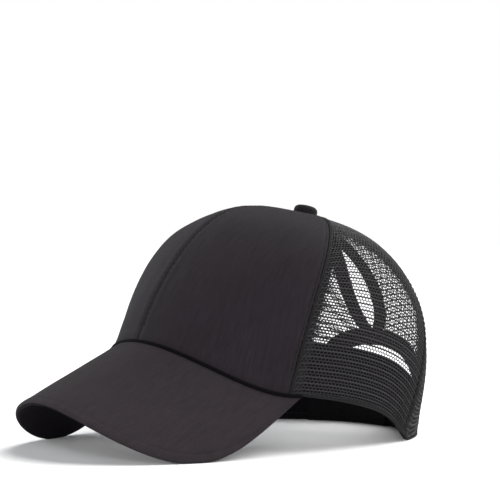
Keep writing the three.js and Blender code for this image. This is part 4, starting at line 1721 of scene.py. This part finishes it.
@dataclass(frozen=True)
class InnerBands(Assembly):
    """The sweatband, the seam tapes and the two halves of the strap."""

    layer: float = 2.1
    band_height: float = 30.0
    band_thickness: float = 1.0
    band_end: float = 43.8
    band_roll: float = 0.45
    band_fold: Ridge = Ridge(0.35, 5.0, 0.7)
    band_line: Ridge = Ridge(0.25, 4.0, 0.6)
    band_sink: float = 0.9
    band_ripple: float = 0.12
    band_ripples: int = 400
    band_ripple_reach: float = 6.0
    tape_width: float = 12.0
    tape_thickness: float = 0.8
    tape_line: Ridge = Ridge(0.15, 1.8, 0.5)
    tape_roll: float = 0.3
    tape_ripple: float = 0.03
    tape_ripples: int = 300
    tape_foot: float = 30.5
    tape_top_radius: float = 11.0
    widest_turn: float = 0.3
    strap_depth: float = 3.6
    strap_height: float = 20.0
    strap_thickness: float = 1.2
    strap_lap: float = 22.0
    strap_root: float = 8.0
    strap_roll: float = 0.4
    strap_line: Ridge = Ridge(0.18, 2.2, 0.45)
    layer_gap: float = 0.5
    band_columns: int = 420
    band_rows: Crowding = (26, 0.8, 2.2)
    tape_columns: Crowding = (15, 0.7, 2.0)
    tape_rows: int = 120
    strap_columns: Crowding = (90, 0.6, 2.0)
    strap_rows: Crowding = (24, 0.8, 2.2)
    stitch: Stitch = Stitch(radius=0.22)
    stitch_inset: float = 2.0
    band_stitch_points: int = 1400
    band_stitch_sink: float = 0.2
    strap_stitch_points: int = 200
    strap_stitch_sink: float = 0.1
    far_face: float = 8.0

    def sweatband(self) -> None:
        """The band round the inside of the rim, with a folded top and a sewn lower edge."""
        form = self.form
        end = math.pi - self.band_end / float(form.girth(math.pi, 0.0))

        def place(a: Array, b: Array, depth: Array) -> Array:
            """A point on the band."""
            phi = lerp(-end, end, a)
            return form.at(phi, form.t_at(phi, b * self.band_height), depth)

        a, b = np.linspace(0, 1, self.band_columns), graded(*self.band_rows)
        up = b * self.band_height
        fold = self.band_fold.at(self.band_height - up) + self.band_line.at(up)
        ripple = self.band_ripple * np.sin(a * self.band_ripples)[:, None] * np.exp(-up / self.band_ripple_reach)
        roll = roll_off(np.minimum(b, 1 - b) * self.band_height, self.band_roll)
        inner = self.layer + self.band_thickness - (roll + fold) * self.band_sink + ripple
        outer = self.layer + roll
        mesh = sheet(place, a, b, outer[None, :], np.maximum(inner, outer + LEAST_CLOTH))
        self.add("sweatband_cloth", "sweatband_cloth", mesh, "sweatband")

    def tape(self, side: Side, seam: Seam, name: str) -> None:
        """Tape over the inside of a seam, from the sweatband up to the top, where it narrows.

        Args:
            side: Left or right.
            seam: The seam's direction for each t.
            name: The tape's name without its side.
        """
        form, sign = self.form, side.value
        end = float(form.top_t(seam(1.0), self.tape_top_radius))
        low = float(form.t_at(sign * float(seam(0.0)), self.tape_foot))

        def place(a: Array, b: Array, depth: Array) -> Array:
            """A point on the tape.

            Args:
                a: Shares across, from 0 to 1.
                b: Shares up, from 0 to 1.
                depth: Depths under the outer face.

            Returns:
                The points.
            """
            t = lerp(low, end, b)
            around = form.girth(sign * seam(t), t)
            half = np.minimum(self.tape_width / 2, self.widest_turn * around) / around
            phi = sign * (seam(t) + lerp(-half, half, a))
            return form.at(phi, lerp(form.t_at(phi, self.tape_foot), end, b), depth)

        a, b = graded(*self.tape_columns), np.linspace(0, 1, self.tape_rows)
        from_edge = np.minimum(a, 1 - a) * self.tape_width
        drop = (roll_off(from_edge, self.tape_roll) + self.tape_line.at(from_edge))[:, None]
        inner = self.layer + self.tape_thickness - drop + self.tape_ripple * np.sin(b * self.tape_ripples)
        mesh = sheet(place, a, b, self.layer, inner)
        self.add(f"{name}_{side.word}_cloth", "seam_tape", mesh, f"{name}_{side.word}")

    def strap(self, side: Side, depth: float) -> None:
        """One half of the strap, sewn inside the sweatband's end and lapped over the other half.

        Args:
            side: Left or right.
            depth: Depth of its outer face under the crown's face.
        """
        root, lap = self.band_end + self.strap_root, self.strap_lap / 2

        def place(a: Array, b: Array, at: Array) -> Array:
            """A point on the strap."""
            return self.form.rear(side.value * lerp(root, -lap, a), b * self.strap_height, at)

        a, b = grid_of(graded(*self.strap_columns), graded(*self.strap_rows))
        near = np.minimum(np.minimum(b, 1 - b) * self.strap_height, (1 - a) * (root + lap))
        drop = roll_off(near, self.strap_roll)
        mesh = sheet(place, a, b, depth + drop + self.strap_line.at(near), depth + self.strap_thickness - drop)
        self.add(f"strap_{side.word}_webbing", "strap_webbing", mesh, f"strap_{side.word}")

    def build(self) -> None:
        """Builds the bands, the tapes, the straps and their stitching."""
        form, stitch = self.form, self.stitch
        self.sweatband()
        end = math.pi - (self.band_end + self.stitch_inset) / float(form.girth(math.pi, 0.0))
        phi = np.linspace(-end, end, self.band_stitch_points)
        depth = self.layer + self.band_thickness - self.band_stitch_sink
        rows = [stitch.row(form.at, phi, form.t_at(phi, self.band_line.place), depth, 0.0)]
        for side in Side:
            self.tape(side, form.front_seam, "front_seam_tape")
            self.tape(side, form.rear_seam, "rear_seam_tape")
        for side, step in zip(Side, (0.0, self.strap_thickness + self.layer_gap)):
            depth = self.strap_depth + step
            self.strap(side, depth)
            start, stop = self.band_end - self.stitch_inset, -self.strap_lap / 2 + self.stitch_inset
            sideways = side.value * np.linspace(start, stop, self.strap_stitch_points)
            for height in (self.strap_line.place, self.strap_height - self.strap_line.place):
                rows.append(stitch.row(form.rear, sideways, height, depth + self.strap_stitch_sink, self.far_face))
        self.add("band_stitching", "sewing_thread", join(rows), slot="sweatband")


@dataclass(frozen=True)
class Brim(Assembly):
    """The brim: its upper cloth, its lining, the rolled edge and the cord in the seam to the crown."""

    cloth: float = 1.5
    gap: float = 0.3
    edge_roll: float = 1.35
    roll_rows: int = 8
    cord_radius: float = 0.95
    cord_forward: float = 0.6
    cord_proud: float = 0.35
    cord_sides: int = 10
    edge_ridge: Ridge = Ridge(0.2, 3.0, 1.6)
    stitch_line: Ridge = Ridge(0.12, 5.0, 0.5)
    waver: float = 0.5
    waver_offset: float = 17.0
    calm_rim: float = 14.0
    calm_edge: float = 10.0
    upper_grid: tuple[int, int] = (220, 70)
    under_grid: tuple[int, int] = (160, 50)
    cord_points: int = 500
    stitch: Stitch = Stitch(length=2.4, gap=0.8, radius=0.18)
    stitch_span: Span = (-0.93, 0.93, 900)
    stitch_depth: float = 0.02

    def grid(self, columns: int, rows: int) -> tuple[Array, Array, Array]:
        """Pattern places of the grid.

        Args:
            columns: Number of columns from the right corner to the left.
            rows: Number of even rows up to the edge's roll; more follow along its quarter circle.

        Returns:
            x, w and the distance from the outer edge.
        """
        form = self.form
        a = np.linspace(-1, 1, columns)
        u = np.sin(a * form.brim.corner_share * math.pi / 2)[:, None]
        x0, w0, _ = form.rim_on_brim(u * form.brim.corner_angle)
        x1, w1 = form.brim_edge(u)
        length = np.hypot(x1 - x0, w1 - w0 - self.gap)
        roll = np.minimum(self.edge_roll, length / 3)
        turn = np.linspace(0, math.pi / 2, self.roll_rows)[None, 1:]
        even = np.linspace(0, 1, rows)[None, :]
        share = np.concatenate([even * (1 - roll / length), 1 - roll * (1 - np.sin(turn)) / length], 1)
        return lerp(x0, x1, share), lerp(w0 + self.gap, w1, share), (1 - share) * length

    def build(self) -> None:
        """Builds the brim's cloths, cord and stitching."""
        form = self.form
        x, w, distance = self.grid(*self.upper_grid)
        rim = np.hypot(x - x[:, :1], w - w[:, :1])
        away = soft_step(rim / self.calm_rim) * soft_step(distance / self.calm_edge)
        outer = roll_off(distance, self.edge_roll) - self.waver * cloth_waver(x + self.waver_offset, w) * away
        outer += self.stitch_line.at(distance) - self.edge_ridge.at(distance)
        mesh = sheet(form.brim_at, x, w, outer, self.cloth, np.stack([x, w], -1))
        self.add("brim_upper_cloth", "brim_cloth", mesh, "brim_upper")
        x, w, distance = self.grid(*self.under_grid)
        outer = self.cloth + self.gap
        inner = np.maximum(outer + self.cloth - roll_off(distance, self.edge_roll), outer + LEAST_CLOTH)
        mesh = sheet(form.brim_at, x, w, outer, inner, np.stack([x, w], -1))
        self.add("brim_under_cloth", "brim_lining", mesh, "brim_under")
        self.cord()
        self.stitching()

    def cord(self) -> None:
        """A cord of turned cloth that fills the seam between the crown and the brim; its near-black colour is painted
        shade for the seam's groove.
        """
        form = self.form
        x, w, _ = form.rim_on_brim(np.linspace(-1, 1, self.cord_points) * form.brim.corner_angle)
        w = w + self.cord_forward
        path = form.brim_at(x, w, -self.cord_proud)
        cord = tube(path, self.cord_radius, self.cord_sides, path - form.brim_at(x, w, self.cloth))
        self.add("brim_seam_cord_painted_shade", "seam_cord_painted_shade", cord)

    def stitching(self) -> None:
        """One row of stitches that follows the brim's outer edge."""
        form = self.form
        u = np.sin(np.linspace(*self.stitch_span) * math.pi / 2)
        x0, w0, _ = form.rim_on_brim(u * form.brim.corner_angle)
        x1, w1 = form.brim_edge(u)
        inset = self.stitch_line.place
        share = 1 - inset / np.maximum(np.hypot(x1 - x0, w1 - w0), 2 * inset)
        row = self.stitch.row(form.brim_at, lerp(x0, x1, share), lerp(w0, w1, share), self.stitch_depth)
        self.add("brim_stitching", "sewing_thread", row, slot="brim_cloth")


@dataclass(frozen=True)
class Button(Assembly):
    """The cloth-covered button on top, a rounded drum whose cover is gathered underneath."""

    radius: float = 7.2
    height: float = 7.6
    roll: float = 2.9
    stem_radius: float = 4.2
    stem_length: float = 2.2
    under: float = 0.3
    under_inset: float = 0.6
    dome: float = 0.35
    tuck: float = 0.7
    pleats: int = 12
    pleat_depth: float = 0.014
    sides: int = 72
    edge_rows: int = 10
    tuck_rows: int = 6
    top_rows: int = 11
    foot_radius: float = 0.004
    top_share: float = 0.001

    def build(self) -> None:
        """Builds the button.

        The profile runs from the axis below, up the stem, out under the rim, round the edge by a
        quarter circle and in over a slightly domed top. Pleats r (1 + d cos 12 q) fade upwards.
        """
        turn = np.linspace(0, math.pi / 2, self.edge_rows)
        lower = np.linspace(-math.pi / 2, 0, self.tuck_rows + 1)[:-1]
        flat = np.linspace(1, self.top_share, self.top_rows + 1)[1:]
        inner, low = self.radius - self.roll, self.radius - self.tuck
        r = np.concatenate([[self.foot_radius, self.stem_radius, self.stem_radius, low - self.under_inset],
                            low + self.tuck * np.cos(lower), inner + self.roll * np.cos(turn), inner * flat])
        z = np.concatenate([[-self.stem_length, -self.stem_length, self.under, self.under],
                            self.under + self.tuck + self.tuck * np.sin(lower),
                            self.height - self.roll - self.dome + self.roll * np.sin(turn),
                            self.height - self.dome * flat**2])
        around = np.linspace(0, 2 * math.pi, self.sides, endpoint=False)
        fade = np.clip(1 - z / self.height, 0, 1)[:, None]
        reach = r[:, None] * (1 + self.pleat_depth * np.cos(self.pleats * around) * fade)
        x, y = reach * np.cos(around), reach * np.sin(around)
        points = self.form.settle(x, self.form.setback + y, self.form.height + z[:, None] + 0 * x)
        self.add("button_cloth", "button_cloth", ring_mesh(points[None], np.stack([x, y], -1)), "button")


# Studio


@dataclass(frozen=True)
class Lamp:
    """A soft square lamp.

    Attributes:
        name: Name of the lamp.
        place: Where it hangs, in metres.
        size: Length of its side.
        power: Watts.
        color: Colour of its light.
    """

    name: str
    place: tuple[float, float, float]
    size: float
    power: float
    color: tuple[float, float, float] = (1.0, 1.0, 1.0)


@dataclass(frozen=True)
class Studio:
    """Pale floor, soft light and the camera at the photograph's angle."""

    azimuth: float = 51.118 * DEGREE
    elevation: float = 3.813 * DEGREE
    distance: float = 1.06484
    target: tuple[float, float, float] = (0.0, 0.0293, 0.0620)
    focal_pixels: float = 1791.674
    image: float = 500.0
    centre: tuple[float, float] = (259.242, 331.952)
    sensor: float = 36.0
    far_limit: float = 20.0
    fill: float = 0.12
    floor_radius: float = 6.0
    floor_sides: int = 64
    paper: float = 0.9
    paper_roughness: float = 0.9
    paper_specular: float = 0.1
    sun_strength: float = 5.2
    sun_spread: float = 75 * DEGREE
    sun_aim: tuple[float, float, float] = (-0.2, -0.8, -1.0)
    lamp_aim: tuple[float, float, float] = (0.0, -0.02, 0.09)
    lamps: tuple[Lamp, ...] = (
        Lamp("left", (-1.5, -0.4, 0.25), 0.7, 15, (0.88, 0.94, 1)),
        Lamp("right", (1.3, -0.9, 0.6), 0.8, 12),
        Lamp("front", (0.4, -1.9, 0.35), 0.8, 19),
    )

    def hang(self, data: bpy.types.Light, power: float, place: Sequence[float], aim: Sequence[float]) -> None:
        """Hangs a light of some power at a place, pointed at an aim.

        Args:
            data: The light.
            power: Its power in watts.
            place: Where it hangs.
            aim: The point that it is aimed at.
        """
        data.energy = power
        obj = link(data.name, data)
        obj.location = place
        obj.rotation_euler = (Vector(aim) - Vector(place)).to_track_quat("-Z", "Y").to_euler()

    def light(self) -> None:
        """Hangs the broad overhead light, the same over the whole floor, and the three soft lamps."""
        sun = bpy.data.lights.new("overhead", "SUN")
        sun.angle = self.sun_spread
        self.hang(sun, self.sun_strength, (0, 0, 0), self.sun_aim)
        for lamp in self.lamps:
            data = bpy.data.lights.new(lamp.name, "AREA")
            data.size = lamp.size
            data.color = lamp.color
            self.hang(data, lamp.power, lamp.place, self.lamp_aim)

    def camera(self) -> None:
        """Stands the camera where the photograph was taken, turned to the picture's middle."""
        a, e = self.azimuth, self.elevation
        back = Vector((math.sin(a) * math.cos(e), -math.cos(a) * math.cos(e), math.sin(e)))
        right = Vector((math.cos(a), math.sin(a), 0))
        up = back.cross(right)
        place = Vector(self.target) + back * self.distance
        over = (self.image / 2 - self.centre[0]) / self.focal_pixels
        rise = (self.centre[1] - self.image / 2) / self.focal_pixels
        behind = (back - right * over - up * rise).normalized()
        side = up.cross(behind).normalized()
        data = bpy.data.cameras.new("camera")
        data.sensor_width = self.sensor
        data.lens = self.focal_pixels / self.image * self.sensor
        data.clip_end = self.far_limit
        obj = link("camera", data)
        turn = Matrix((side, behind.cross(side), behind)).transposed().to_4x4()
        obj.matrix_world = Matrix.Translation(place) @ turn
        bpy.context.scene.camera = obj

    def world(self) -> None:
        """Makes the world white to the camera, and a weak even light to everything else."""
        world = bpy.data.worlds.new("studio")
        world.use_nodes = True
        n = Nodes(world.node_tree)
        seen = n.add("LightPath").outputs["Is Camera Ray"]
        strength = n.add("Mix", {0: seen, 2: self.fill, 3: 1.0}, data_type="FLOAT").outputs[0]
        n.feed(n.tree.nodes["Background"], {"Color": (1, 1, 1, 1), "Strength": strength})
        bpy.context.scene.world = world

    def floor(self) -> None:
        """Lays the round floor of pale paper."""
        mesh = bpy.data.meshes.new("floor")
        turn = np.linspace(0, 2 * math.pi, self.floor_sides, endpoint=False)
        ring = self.floor_radius * np.stack([np.cos(turn), np.sin(turn), 0 * turn], -1)
        mesh.from_pydata(ring.tolist(), [], [list(range(self.floor_sides))])
        material = bpy.data.materials.new("floor_paper")
        material.use_nodes = True
        n = Nodes(material.node_tree)
        n.feed(n.tree.nodes["Principled BSDF"], {
            "Base Color": (self.paper, self.paper, self.paper, 1),
            "Roughness": self.paper_roughness,
            "Specular IOR Level": self.paper_specular,
        })
        mesh.materials.append(material)
        floor = link("floor", mesh)

    def build(self) -> None:
        """Sets the plain view transform, and builds the world, the floor, the lights and the camera."""
        settings = bpy.context.scene.view_settings
        settings.view_transform = "Standard"
        settings.look = "None"
        self.world()
        self.floor()
        self.light()
        self.camera()


def main() -> None:
    """Builds the sub-assemblies in order."""
    logging.basicConfig(level=logging.INFO, format="%(message)s")
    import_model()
    kit = CrownForm(BrimForm()), Workshop(), Wardrobe()
    opening = RearOpening(*kit)
    for part in (Brim(*kit), FrontPanels(*kit), NetPanels(*kit, opening), opening, InnerBands(*kit), Button(*kit)):
        part.build()
        log.info("built %s", type(part).__name__)
    Studio().build()


if __name__ == "__main__":
    main()
